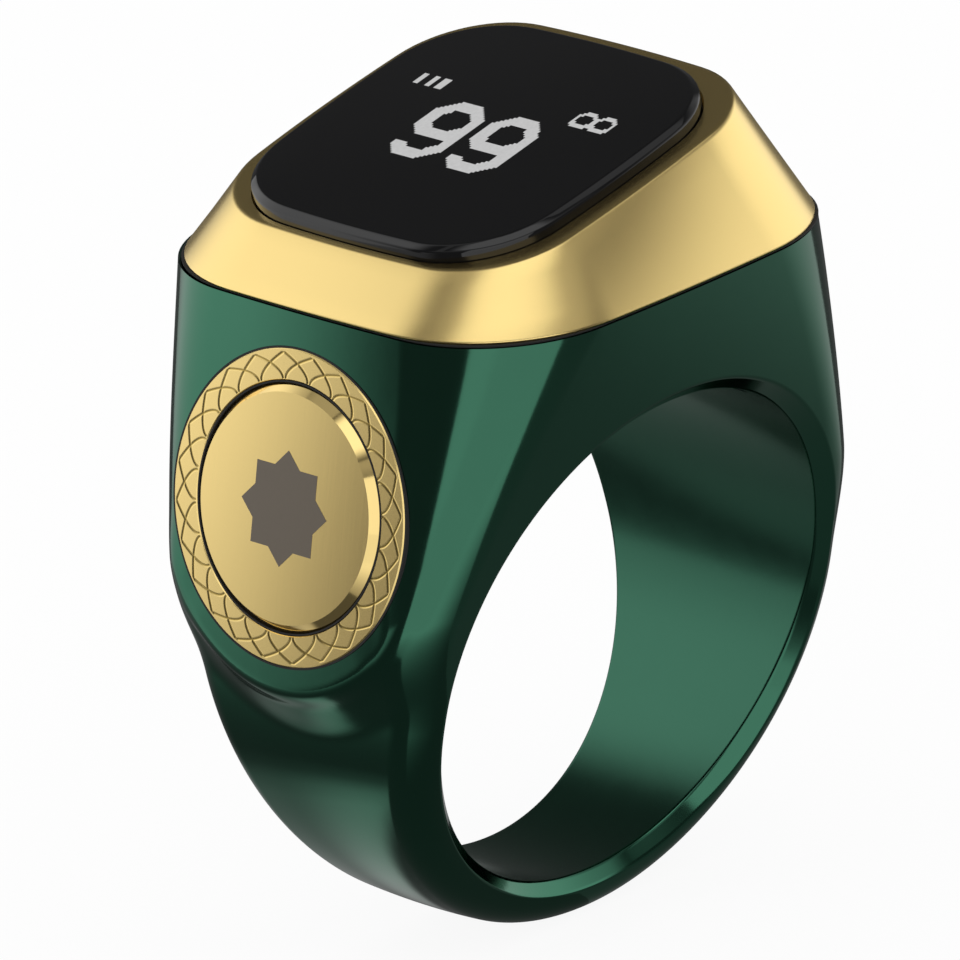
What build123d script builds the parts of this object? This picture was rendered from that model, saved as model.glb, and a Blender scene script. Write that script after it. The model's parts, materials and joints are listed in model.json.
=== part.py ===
from build123d import *
import os
from math import cos, hypot, radians, sin, tan

# A finger ring that counts prayers: a display on its head and a press button on its flank.
# Millimetres, +Z up, the finger bore along Y with its middle at the origin, the button towards -X.

os.makedirs("parts", exist_ok=True)

# Band round the finger
bore_radius = 10.0
bore_chamfer = 0.55
band_button_wall = 2.1
band_far_wall = 1.55
band_bottom_wall = 1.8
band_half_width = 6.0
band_corner = 1.6
band_bottom_corner = 1.2
band_bow = 0.15
band_root_share = 0.8
band_section_count = 17

# Head of the body, up to the seam under the bezel
seam_rise = 4.9
head_half_x = 10.3
head_half_y = 10.1
head_corner = 5.8
corner_growth = 1.6
head_bow = 0.4
shoulder_height = 4.6
shoulder_shares = (0.0, 0.25, 0.5, 0.75, 1.0)
button_flank_tilt = 12.6
far_flank_tilt = 8.0

# Electronics bay in the head
crown_wall = 1.0
end_wall = 1.5
side_wall = 2.3
bay_corner = 3.0
boss_height = 0.5
boss_radius = 1.15

# Bezel and display glass, on a plane that faces the button side
display_tilt = 12.05
rim_centre_x = -0.62
rim_rise = 3.76
rim_half_x = 7.93
rim_half_y = 8.38
rim_corner = 4.4
rim_bow = 0.4
rim_round = 0.3
seam_step = 0.1
seam_chamfer = 0.18
gasket_thickness = 0.15
gasket_inset = 0.2
bezel_window_half_x = 6.4
bezel_window_half_y = 6.9
bezel_window_corner = 1.2
bezel_ledge = 1.2
skirt_depth = 1.0
skirt_wall = 0.75
glass_half_x = 7.49
glass_half_y = 7.9
glass_corner = 4.1
glass_bow = 0.38
glass_thickness = 1.3
glass_proud = 0.46
glass_bevel = 0.33
adhesive_thickness = 0.1
panel_half_x = 5.6
panel_half_y = 6.6
panel_thickness = 1.2
panel_corner = 0.4

# Press button on the flank
button_drop = 7.24
ring_radius = 6.03
ring_inner_radius = 4.8
ring_thickness = 0.95
ring_proud = 0.05
button_boss_wall = 0.4
button_boss_round = 0.3
button_boss_sink = 0.03
cap_radius = 4.65
cap_proud = 0.2
cap_thickness = 0.95
cap_chamfer = 0.32
emblem_radius = 2.2
emblem_depth = 0.12
button_travel = 0.25
travel_margin = 0.05
web_thickness = 0.8
stem_radius = 1.5
stem_spigot_radius = 0.8
stem_spigot_length = 0.5
stem_neck_radius = 1.1
seal_cord_radius = 0.24
seal_gland_depth = 0.5
clip_radius = 2.2
clip_thickness = 0.2
clip_gap_half = 0.6
clip_pocket_radius = 2.45

# Switch behind the button
switch_half_x = 1.5
switch_half_y = 1.3
switch_height = 0.5
switch_floor = 0.08
switch_plunger_radius = 0.6
switch_plunger_length = 0.42
dome_radius = 0.95
dome_rise = 0.2
dome_thickness = 0.05
switch_board_half_x = 1.8
switch_board_low = 1.6
switch_board_high = 2.4
switch_board_thickness = 0.3
switch_bay_high = 5.0
flex_half_width = 0.8
flex_thickness = 0.15
flex_foot = 0.8
flex_offset = 1.7

# Main board and what is soldered to it
board_button_gap = 1.6
board_far_gap = 0.4
board_side_gap = 0.6
board_corner = 2.4
board_thickness = 0.6
chip_side = 4.0
chip_height = 0.8
charger_side = 2.0
charger_height = 0.6
crystal_length = 2.0
crystal_width = 1.6
crystal_height = 0.5
antenna_length = 3.2
antenna_width = 1.6
antenna_height = 0.8
capacitor_length = 1.0
capacitor_width = 0.5
capacitor_height = 0.5
capacitor_count = 6
part_spacing = 0.4
case_edge_share = 0.1
motor_screw_pitch = 2.6
motor_radius = 2.0
motor_height = 2.0
motor_round_share = 0.15

# Battery and the tray that carries it
battery_end_gap = 0.5
battery_side_gap = 1.1
battery_thickness = 2.2
battery_corner = 0.8
battery_round_share = 0.2
foam_thickness = 0.2
tray_thickness = 0.5
tray_corner = 2.4
tray_gap = 0.1
tray_headroom = 0.25
tray_lip = 0.5
tray_lip_height = 1.2
tray_lip_share = 0.7
tab_width = 1.6
tab_thickness = 0.12
tab_pitch = 6.0
screw_radius = 0.5
screw_head_radius = 0.95
screw_head_height = 0.4
screw_bite = 1.2
tray_screw_inset = 1.5
board_screw_inset = 0.9
screw_side_inset = 1.6

# Inner cover at the top of the bore, with the charging contacts
cover_end_inset = 2.4
cover_side_inset = 0.2
cover_rebate = 0.8
cover_flange = 0.6
cover_glue = 0.08
contact_radius = 0.9
contact_pitch = 4.4
magnet_radius = 1.1
magnet_height = 0.8
magnet_edge = 0.4
magnet_cover = 0.6

# Clearances and the overrun of every cut
fit_clearance = 0.05
running_clearance = 0.05
seat_gap = 0.02
overrun = 1.0

centred_low = (Align.CENTER, Align.CENTER, Align.MIN)
ribbon_low = (Align.MIN, Align.CENTER, Align.MIN)
lip_low = (Align.CENTER, Align.MIN, Align.MIN)

# Places worked out from the sizes above
band_button_reach = bore_radius + band_button_wall
band_far_reach = bore_radius + band_far_wall
band_bottom_reach = bore_radius + band_bottom_wall
seam_height = bore_radius + seam_rise
rim_centre_height = seam_height + rim_rise
button_height = seam_height - button_drop
long_reach = 4 * seam_height
side_slope = (head_half_y - band_half_width) / seam_height
head_taper = tan(radians(button_flank_tilt))
bay_floor = bore_radius + crown_wall
bay_half_x = head_half_x - end_wall
bay_half_y = head_half_y - side_wall
well_half_x = bay_half_x - fit_clearance - skirt_wall
well_half_y = bay_half_y - fit_clearance - skirt_wall
cover_half_x = well_half_x - cover_end_inset
cover_half_y = well_half_y - cover_side_inset
magnet_x = cover_half_x - cover_rebate - magnet_edge - magnet_radius
magnet_floor = bore_radius + magnet_cover

# The row of parts along the board, with even gaps
board_low_x = board_button_gap - bay_half_x
board_high_x = bay_half_x - board_far_gap
board_half_y = bay_half_y - board_side_gap
board_floor = bay_floor + boss_height
board_top = board_floor + board_thickness
row_parts = (2 * motor_radius, capacitor_length, chip_side, antenna_width)
row_gap = (board_high_x - board_low_x - sum(row_parts)) / (len(row_parts) + 1)
motor_x = board_low_x + row_gap + motor_radius
tab_x = motor_x + motor_radius + row_gap / 2
capacitor_x = motor_x + motor_radius + row_gap + capacitor_length / 2
chip_x = capacitor_x + capacitor_length / 2 + row_gap + chip_side / 2
antenna_x = board_high_x - row_gap - antenna_width / 2
charger_y = -(chip_side + charger_side) / 2 - part_spacing
crystal_y = (chip_side + crystal_width) / 2 + part_spacing
screw_y = well_half_y - screw_side_inset
motor_y = motor_screw_pitch - screw_y

# The tray and the cell over the row
tray_floor = board_top + chip_height + tray_headroom
tray_top = tray_floor + tray_thickness
battery_low_x = tab_x + tab_thickness / 2
battery_length = well_half_x - battery_end_gap - battery_low_x
battery_half_width = well_half_y - battery_side_gap
battery_middle_x = battery_low_x + battery_length / 2
tray_screw_x = well_half_x - tray_screw_inset
board_screw_x = board_low_x + board_screw_inset
tray_post_x = battery_low_x + boss_radius + tray_gap
tray_post_y = well_half_y - 2 * tray_gap - boss_radius
tray_screw_spots = [(tray_screw_x, screw_y), (tray_screw_x, -screw_y)]
board_screw_spots = [(board_screw_x, screw_y), (board_screw_x, -screw_y)]
tray_post_spots = [(tray_post_x, tray_post_y), (tray_post_x, -tray_post_y)]

# Depths behind the display plane and the button's flank
glass_back = glass_proud - glass_thickness
glass_seat = adhesive_thickness - glass_back
cap_back = cap_thickness - cap_proud
web_front = cap_back + button_travel + travel_margin
web_back = web_front + web_thickness
seal_reach = stem_radius + running_clearance + 2 * seal_cord_radius
seal_depth = web_front + seal_gland_depth - seal_cord_radius - seat_gap
clip_front = web_back + seat_gap
clip_back = clip_front + clip_thickness
stem_end = clip_back + clip_thickness
plunger_front = stem_end + seat_gap
plunger_back = plunger_front + switch_plunger_length
switch_front = stem_end + button_travel + travel_margin
switch_back = switch_front + switch_height
switch_bay_back = switch_back + switch_board_thickness
dome_floor = switch_back - switch_floor


def flank_x(height):
    """Reach of the straight button flank at a height."""
    return head_half_x + head_taper * (seam_height - height)


button_plane = Plane(
    origin=(-flank_x(button_height), 0, button_height),
    x_dir=(0, -1, 0),
    z_dir=(-cos(radians(button_flank_tilt)), 0, sin(radians(button_flank_tilt))),
)
display_plane = Plane(
    origin=(rim_centre_x, 0, rim_centre_height),
    x_dir=(cos(radians(display_tilt)), 0, sin(radians(display_tilt))),
    z_dir=(-sin(radians(display_tilt)), 0, cos(radians(display_tilt))),
)


def bowed_edge(start, end, bow):
    """A straight edge, or an arc that swells by the bow to the right of its direction."""
    if bow == 0:
        return Line(start, end)
    run = Vector(*end) - Vector(*start)
    middle = (Vector(*start) + Vector(*end)) / 2 + Vector(run.Y, -run.X) * (bow / run.length)
    return ThreePointArc(start, middle, end)


def cushion(low_x, high_x, half_y, corner, bow_x=0, bow_y=0):
    """A rectangle with swelling sides and round corners."""
    left, right, top = low_x + bow_x, high_x - bow_x, half_y - bow_y
    corners = [(left, -top), (right, -top), (right, top), (left, top)]
    bows = [bow_y, bow_x, bow_y, bow_x]
    sides = [bowed_edge(*ends) for ends in zip(corners, corners[1:] + corners[:1], bows)]
    outline = make_face(sides)
    return fillet(outline.vertices(), corner)


def even_cushion(half_x, half_y, corner, bow=0):
    """A cushion about the origin with the same bow on all sides."""
    return cushion(-half_x, half_x, half_y, corner, bow, bow)


def upright_prism(outline, low, high):
    """An outline carried straight up between two heights."""
    return extrude(Pos(0, 0, low) * outline, amount=high - low)


def on_display(shape, height=0):
    """A shape set on the display plane, raised along its normal."""
    return display_plane.location * Pos(0, 0, height) * shape


def on_button(shape, depth):
    """A shape set under the button's flank at a depth, built outwards from there."""
    return button_plane.location * Pos(0, 0, -depth) * shape


def button_disc(radius, front, back):
    """A round disc of the button stack between two depths."""
    return on_button(Cylinder(radius, back - front, align=centred_low), back)


def button_block(half_x, low_y, high_y, front, back):
    """A block of the button stack, upwards on the flank from low_y to high_y."""
    block = Box(2 * half_x, high_y - low_y, back - front, align=(Align.CENTER, Align.MIN, Align.MIN))
    return on_button(Pos(0, low_y, 0) * block, back)


def side_y(height):
    """Half width of the ring along the finger at a height."""
    return band_half_width + side_slope * height


def shoulder_x(reach, tilt, height):
    """Reach of a flank between the shoulder and the bore's height, where it stands upright."""
    lean = tan(radians(tilt))
    top = head_half_x + lean * (seam_height - shoulder_height)
    swell = top + lean * shoulder_height / 3
    t = 1 - height / shoulder_height
    return (1 - t) ** 3 * top + 3 * (1 - t) ** 2 * t * swell + (3 - 2 * t) * t**2 * reach


def head_section(height):
    """Level section of the body at a height between the bore's middle and the seam."""
    rise = height / seam_height
    if height > shoulder_height:
        low_x = -flank_x(height)
        high_x = head_half_x + tan(radians(far_flank_tilt)) * (seam_height - height)
    else:
        low_x = -shoulder_x(band_button_reach, button_flank_tilt, height)
        high_x = shoulder_x(band_far_reach, far_flank_tilt, height)
    corner = band_corner + (head_corner - band_corner) * rise**corner_growth
    bow_x = band_bow + (head_bow - band_bow) * rise
    return Pos(0, 0, height) * cushion(low_x, high_x, side_y(height), corner, bow_x, head_bow * rise)


def band_section(turn):
    """Section of the lower band through the bore's axis, turned from the far side under the finger."""
    reach = band_far_reach if turn < 90 else band_button_reach
    x, z = reach * cos(radians(turn)), -band_bottom_reach * sin(radians(turn))
    outer = hypot(x, z)
    inner = bore_radius * band_root_share
    root, edge = side_y(z * inner / outer), side_y(z)
    corner = band_corner + (band_bottom_corner - band_corner) * sin(radians(turn))
    crown = outer - band_bow
    sides = [
        Line((inner, root), (inner, -root)),
        Line((inner, -root), (crown, -edge)),
        bowed_edge((crown, -edge), (crown, edge), band_bow),
        Line((crown, edge), (inner, root)),
    ]
    outline = make_face(sides)
    outline = fillet(outline.vertices().sort_by(Axis.X)[-2:], corner)
    return Plane(origin=(0, 0, 0), x_dir=(x, 0, z), z_dir=(-z, 0, x)).location * outline


def bore_tube(radius):
    """A long cylinder along the finger."""
    return Rot(90, 0, 0) * Cylinder(radius, long_reach)


def bore_rim(radius, inset):
    """Where a tube along the finger meets the leaning side of the ring, moved in from that side."""
    lean = Plane(origin=(0, inset - band_half_width, 0), x_dir=(1, 0, 0), z_dir=(0, -1, -side_slope))
    return lean.location * Ellipse(radius, radius * hypot(1, side_slope))


def body_blank():
    """The outer form of the body with its finger bore, before the bays are cut."""
    head = loft([head_section(shoulder_height), head_section(seam_height)], ruled=True)
    shoulder = loft([head_section(share * shoulder_height) for share in shoulder_shares])
    turns = [180 * step / (band_section_count - 1) for step in range(band_section_count)]
    band = loft([band_section(turn) for turn in turns])
    boss = Cylinder(ring_radius + button_boss_wall, web_back, align=centred_low)
    boss = fillet(boss.edges().sort_by(Axis.Z)[-1], button_boss_round)
    blank = head + shoulder + band + on_button(boss, web_back + button_boss_sink)
    blank -= bore_tube(bore_radius)
    inner_rim = bore_rim(bore_radius - bore_chamfer, 2 * bore_chamfer)
    outer_rim = bore_rim(bore_radius + 2 * bore_chamfer, -bore_chamfer)
    flare = loft([inner_rim, outer_rim], ruled=True)
    return blank - flare - mirror(flare, about=Plane.XZ)


def cover_block(shrink, inset=0):
    """The block that the inner cover fills over the bore, drawn in by a clearance or an inset."""
    width, length = cover_half_x - inset - shrink, cover_half_y - inset - shrink
    return Box(2 * width, 2 * length, bay_floor, align=centred_low)


def screw_hole(spot, radius):
    """A hole down through the board and its boss."""
    depth = bay_floor - screw_bite - seat_gap
    return Pos(*spot, depth) * Cylinder(radius, board_top + overrun - depth, align=centred_low)


def body_shell():
    """Green metal band and lower head."""
    shell = body_blank()
    bay = even_cushion(bay_half_x, bay_half_y, bay_corner)
    shell -= upright_prism(bay, bay_floor, seam_height + overrun)
    for spot in tray_screw_spots + board_screw_spots:
        shell += Pos(*spot, bay_floor) * Cylinder(boss_radius, boss_height, align=centred_low)
        shell -= screw_hole(spot, screw_radius)
    shell -= button_disc(ring_radius + fit_clearance, -overrun, ring_thickness - ring_proud)
    shell -= button_disc(ring_inner_radius, 0, web_front)
    shell -= button_disc(seal_reach + seat_gap, 0, web_front + seal_gland_depth)
    shell -= button_disc(stem_radius + running_clearance, 0, switch_front)
    shell -= button_disc(clip_pocket_radius, web_back, switch_front)
    bay_half = switch_board_half_x + fit_clearance
    shell -= button_block(bay_half, -switch_board_low - fit_clearance, switch_bay_high, web_back, switch_bay_back)
    shell -= cover_block(-fit_clearance) & bore_tube(bore_radius + cover_flange + cover_glue)
    return shell - Pos(0, 0, overrun) * cover_block(-fit_clearance, cover_rebate)


def bezel():
    """Gold frame between the body and the display, with a skirt that drops into the bay."""
    base = seam_height + gasket_thickness
    half_x, half_y = head_half_x - seam_step, head_half_y - seam_step
    low = even_cushion(half_x - seam_chamfer, half_y - seam_chamfer, head_corner - seam_chamfer, head_bow)
    full = even_cushion(half_x, half_y, head_corner, head_bow)
    rim = even_cushion(rim_half_x, rim_half_y, rim_corner, rim_bow)
    foot = loft([Pos(0, 0, base) * low, Pos(0, 0, base + seam_chamfer) * full], ruled=True)
    flank = loft([Pos(0, 0, base + seam_chamfer) * full, on_display(rim)], ruled=True)
    flank = chamfer(flank.faces().sort_by(Axis.Z)[-1].edges(), rim_round)
    skirt = even_cushion(bay_half_x - fit_clearance, bay_half_y - fit_clearance, bay_corner)
    frame = foot + flank + upright_prism(skirt, seam_height - skirt_depth, base)
    hollow = even_cushion(well_half_x, well_half_y, bay_corner - skirt_wall)
    well = upright_prism(hollow, seam_height - skirt_depth, rim_centre_height + rim_half_x)
    above = Box(long_reach, long_reach, long_reach, align=centred_low)
    frame -= well - on_display(above, -glass_seat - bezel_ledge)
    window = even_cushion(bezel_window_half_x, bezel_window_half_y, bezel_window_corner)
    frame -= on_display(extrude(window, amount=bezel_ledge + glass_seat), -glass_seat - bezel_ledge)
    recess = even_cushion(glass_half_x + fit_clearance, glass_half_y + fit_clearance, glass_corner, glass_bow)
    return frame - on_display(extrude(recess, amount=glass_seat + overrun), -glass_seat)


def bezel_gasket():
    """Black gasket in the seam under the bezel."""
    half_x, half_y = head_half_x - gasket_inset, head_half_y - gasket_inset
    outline = even_cushion(half_x, half_y, head_corner, head_bow)
    outline -= even_cushion(bay_half_x, bay_half_y, bay_corner)
    return upright_prism(outline, seam_height, seam_height + gasket_thickness)


def display_glass():
    """Black cover glass with a bevelled edge."""
    outline = even_cushion(glass_half_x, glass_half_y, glass_corner, glass_bow)
    slab = extrude(outline, amount=glass_thickness)
    slab = chamfer(slab.faces().sort_by(Axis.Z)[-1].edges(), glass_bevel)
    return on_display(slab, glass_back)


def glass_adhesive():
    """Frame of black tape under the edge of the glass."""
    outline = even_cushion(glass_half_x, glass_half_y, glass_corner, glass_bow)
    outline -= even_cushion(bezel_window_half_x, bezel_window_half_y, bezel_window_corner)
    return on_display(extrude(outline, amount=adhesive_thickness), -glass_seat)


def oled_panel():
    """Dot-matrix panel bonded under the glass."""
    outline = even_cushion(panel_half_x, panel_half_y, panel_corner)
    return on_display(extrude(outline, amount=panel_thickness), glass_back - panel_thickness)


def display_flex():
    """Ribbon from the back of the panel down to the main board."""
    panel_back = glass_back - panel_thickness
    pad = Pos(-panel_half_x, flex_offset, 0) * Box(flex_foot, 2 * flex_half_width, flex_thickness, align=ribbon_low)
    pad = on_display(pad, panel_back - flex_thickness)
    drop_x = pad.bounding_box().min.X
    top = pad.bounding_box().min.Z + flex_thickness
    drop = Box(flex_thickness, 2 * flex_half_width, top - board_top, align=ribbon_low)
    foot = Box(flex_foot, 2 * flex_half_width, flex_thickness, align=ribbon_low)
    return pad + Pos(drop_x, flex_offset, board_top) * drop + Pos(drop_x, flex_offset, board_top) * foot


def main_board():
    """Printed board on four bosses over the bore."""
    board = upright_prism(cushion(board_low_x, board_high_x, board_half_y, board_corner), board_floor, board_top)
    for spot in tray_screw_spots + board_screw_spots:
        board -= screw_hole(spot, screw_radius + fit_clearance)
    return board


def on_board(x, y, length, width, height):
    """A soldered part on the main board."""
    case = Box(length, width, height, align=centred_low)
    edge = min(length, width, height) * case_edge_share
    return Pos(x, y, board_top) * chamfer(case.faces().sort_by(Axis.Z)[-1].edges(), edge)


def board_capacitors():
    """Row of small capacitors along the board."""
    pitch = capacitor_width + part_spacing
    first = -pitch * (capacitor_count - 1) / 2
    sizes = (capacitor_length, capacitor_width, capacitor_height)
    row = [on_board(capacitor_x, first + pitch * step, *sizes) for step in range(capacitor_count)]
    return Compound(row)


def vibration_motor():
    """Coin motor on the board."""
    coin = Cylinder(motor_radius, motor_height, align=centred_low)
    coin = fillet(coin.edges().sort_by(Axis.Z)[-1], motor_height * motor_round_share)
    return Pos(motor_x, motor_y, board_top) * coin


def tray_post(spot, radius):
    """A post from the board up to the tray."""
    return Pos(*spot, board_top) * Cylinder(radius, tray_top - board_top, align=centred_low)


def battery_tray():
    """Plastic tray over the chips, screwed down at the far end."""
    outline = cushion(battery_low_x, well_half_x - tray_gap, well_half_y - tray_gap, tray_corner)
    tray = upright_prism(outline, tray_floor, tray_top)
    lip_y = battery_half_width + running_clearance
    lip = Box(battery_length * tray_lip_share, tray_lip, tray_lip_height, align=lip_low)
    for side in (1, -1):
        turn = 0 if side > 0 else 180
        tray += Rot(0, 0, turn) * Pos(side * battery_middle_x, lip_y, tray_top) * lip
    for spot in tray_screw_spots + tray_post_spots:
        tray += tray_post(spot, boss_radius)
    for spot in tray_screw_spots:
        tray -= Pos(*spot, board_top) * Cylinder(screw_radius + fit_clearance, long_reach, align=centred_low)
        sink = Cylinder(screw_head_radius + fit_clearance, long_reach, align=centred_low)
        tray -= Pos(*spot, tray_top - screw_head_height) * sink
    return tray


def screw(spot, seat):
    """A pan screw with a cross recess, its head standing on a seat."""
    shank = Pos(0, 0, bay_floor - screw_bite) * Cylinder(
        screw_radius, seat - bay_floor + screw_bite, align=centred_low
    )
    head = Cylinder(screw_head_radius, screw_head_height, align=centred_low)
    slot = Box(screw_head_radius, screw_radius / 2, screw_head_height, align=centred_low)
    slot += Rot(0, 0, 90) * slot
    head -= Pos(0, 0, screw_head_height / 2) * slot
    return Pos(*spot, 0) * (shank + Pos(0, 0, seat) * head)


def battery():
    """Flat lithium cell."""
    outline = RectangleRounded(battery_length, 2 * battery_half_width, battery_corner)
    cell = extrude(outline, amount=battery_thickness)
    cell = fillet(cell.faces().sort_by(Axis.Z)[-1].edges(), battery_thickness * battery_round_share)
    return Pos(battery_middle_x, 0, tray_top + foam_thickness) * cell


def battery_foam():
    """Foam pad under the cell."""
    length = battery_length - 2 * battery_corner
    pad = Box(length, 2 * (battery_half_width - battery_corner), foam_thickness, align=centred_low)
    return Pos(battery_middle_x, 0, tray_top) * pad


def battery_tabs():
    """Two nickel tabs from the cell down to the board."""
    height = tray_top + foam_thickness + battery_thickness / 2 - board_top
    tab = Box(tab_thickness, tab_width, height, align=(Align.MAX, Align.CENTER, Align.MIN))
    return Compound([Pos(battery_low_x, side * tab_pitch / 2, board_top) * tab for side in (1, -1)])


def contact_pins(radius):
    """Two pins from the bore up to the board."""
    pin = Cylinder(radius, board_floor, align=centred_low)
    return [Pos(0, side * contact_pitch / 2, 0) * pin - bore_tube(bore_radius) for side in (1, -1)]


def magnet_pair(radius, top):
    """Two discs in pockets of the inner cover."""
    disc = Cylinder(radius, top - magnet_floor, align=centred_low)
    return [Pos(side * magnet_x, 0, magnet_floor) * disc for side in (1, -1)]


def inner_cover():
    """Dark cover that closes the bay over the finger, flush with the bore."""
    flange = cover_block(0) & bore_tube(bore_radius + cover_flange)
    cover = flange + cover_block(0, cover_rebate) - bore_tube(bore_radius)
    for pin in contact_pins(contact_radius + fit_clearance):
        cover -= pin
    for pocket in magnet_pair(magnet_radius + fit_clearance, bay_floor + overrun):
        cover -= pocket
    return cover


def cover_adhesive():
    """Glue line between the cover's flange and the body."""
    line = cover_block(0) & bore_tube(bore_radius + cover_flange + cover_glue)
    return line - bore_tube(bore_radius + cover_flange) - cover_block(-fit_clearance, cover_rebate)


def button_ring():
    """Fixed gold trim ring let into the flank."""
    ring = button_disc(ring_radius, -ring_proud, ring_thickness - ring_proud)
    return ring - button_disc(ring_inner_radius, -overrun, ring_thickness)


def star(radius):
    """Eight-pointed star of two crossed squares."""
    square = Rectangle(radius * 2**0.5, radius * 2**0.5)
    return square + Rot(0, 0, 45) * square


def button_cap():
    """Round press button with a polished chamfer and a shallow pocket for the inlay."""
    disc = Cylinder(cap_radius, cap_thickness, align=centred_low)
    disc = chamfer(disc.edges().sort_by(Axis.Z)[-1], cap_chamfer)
    disc -= Cylinder(stem_spigot_radius, stem_spigot_length, align=centred_low)
    disc -= Pos(0, 0, cap_thickness - emblem_depth) * extrude(star(emblem_radius), amount=emblem_depth)
    return on_button(disc, cap_back)


def button_emblem():
    """Dark star inlay, flush with the cap."""
    return on_button(extrude(star(emblem_radius), amount=emblem_depth), emblem_depth - cap_proud)


def button_stem():
    """Stem pressed into the cap, with a neck for its clip."""
    stem = button_disc(stem_spigot_radius, cap_back - stem_spigot_length, cap_back)
    stem += button_disc(stem_radius, cap_back, clip_front)
    stem += button_disc(stem_neck_radius, clip_front, clip_back)
    return stem + button_disc(stem_radius, clip_back, stem_end)


def stem_clip():
    """Open clip in the stem's neck, which keeps the button from falling out."""
    clip = button_disc(clip_radius, clip_front, clip_back)
    clip -= button_disc(stem_neck_radius, 0, stem_end)
    return clip - button_block(clip_gap_half, 0, 2 * clip_radius, 0, stem_end)


def stem_seal():
    """Rubber ring round the stem in its gland."""
    return on_button(Torus(seal_reach - seal_cord_radius, seal_cord_radius), seal_depth)


def switch_base():
    """Case of the press switch, with a well for its dome."""
    base = button_block(switch_half_x, -switch_half_y, switch_half_y, switch_front, switch_back)
    base -= button_disc(dome_radius + fit_clearance, plunger_back, dome_floor)
    return base - button_disc(switch_plunger_radius + running_clearance, 0, dome_floor)


def switch_plunger():
    """Small plunger between the stem and the dome."""
    return button_disc(switch_plunger_radius, plunger_front, plunger_back)


def switch_dome():
    """Snap dome that pushes the button back."""
    ball = (dome_radius**2 + dome_rise**2) / (2 * dome_rise)
    shell = Sphere(ball) - Sphere(ball - dome_thickness)
    cap = shell & Pos(0, 0, ball - dome_rise) * Box(2 * ball, 2 * ball, ball, align=centred_low)
    return on_button(Pos(0, 0, dome_rise - ball) * cap, dome_floor)


def switch_board():
    """Small board behind the switch, against the back wall."""
    return button_block(switch_board_half_x, -switch_board_low, switch_board_high, switch_back, switch_bay_back)


def switch_flex():
    """Ribbon from the switch board up to the main board."""
    lean = radians(button_flank_tilt)
    rise = (board_top + flex_thickness - button_height + switch_back * sin(lean)) / cos(lean)
    strip = button_block(flex_half_width, switch_half_y + seat_gap, rise, switch_back - flex_thickness, switch_back)
    low_x = strip.bounding_box().max.X - flex_thickness / cos(lean)
    foot = Box(board_low_x + flex_foot - low_x, 2 * flex_half_width, flex_thickness, align=ribbon_low)
    return strip + Pos(low_x, 0, board_top) * foot


nodes = {
    "body_shell": body_shell(),
    "bezel": bezel(),
    "bezel_gasket": bezel_gasket(),
    "display_glass": display_glass(),
    "glass_adhesive": glass_adhesive(),
    "oled_panel": oled_panel(),
    "display_flex": display_flex(),
    "main_board": main_board(),
    "controller_chip": on_board(chip_x, 0, chip_side, chip_side, chip_height),
    "charger_chip": on_board(chip_x, charger_y, charger_side, charger_side, charger_height),
    "crystal": on_board(chip_x, crystal_y, crystal_length, crystal_width, crystal_height),
    "chip_antenna": on_board(antenna_x, 0, antenna_width, antenna_length, antenna_height),
    "board_capacitors": board_capacitors(),
    "vibration_motor": vibration_motor(),
    "battery_tray": battery_tray(),
    "battery_foam": battery_foam(),
    "battery": battery(),
    "battery_tabs": battery_tabs(),
    "tray_screws": Compound([screw(spot, tray_top - screw_head_height) for spot in tray_screw_spots]),
    "board_screws": Compound([screw(spot, board_top) for spot in board_screw_spots]),
    "inner_cover": inner_cover(),
    "cover_adhesive": cover_adhesive(),
    "charge_contacts": Compound(contact_pins(contact_radius)),
    "charge_magnets": Compound(magnet_pair(magnet_radius, magnet_floor + magnet_height)),
    "button_ring": button_ring(),
    "button_cap": button_cap(),
    "button_emblem": button_emblem(),
    "button_stem": button_stem(),
    "stem_clip": stem_clip(),
    "stem_seal": stem_seal(),
    "switch_base": switch_base(),
    "switch_plunger": switch_plunger(),
    "switch_dome": switch_dome(),
    "switch_board": switch_board(),
    "switch_flex": switch_flex(),
}

for name, shape in nodes.items():
    export_step(shape, f"parts/{name}.step")
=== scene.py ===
import json
from math import acos, atan2, cos, hypot, pi, radians, sin, sqrt, tan

import bmesh
import bpy
from bpy.props import FloatProperty, FloatVectorProperty, IntProperty, PointerProperty
from mathutils import Matrix, Vector


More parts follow.
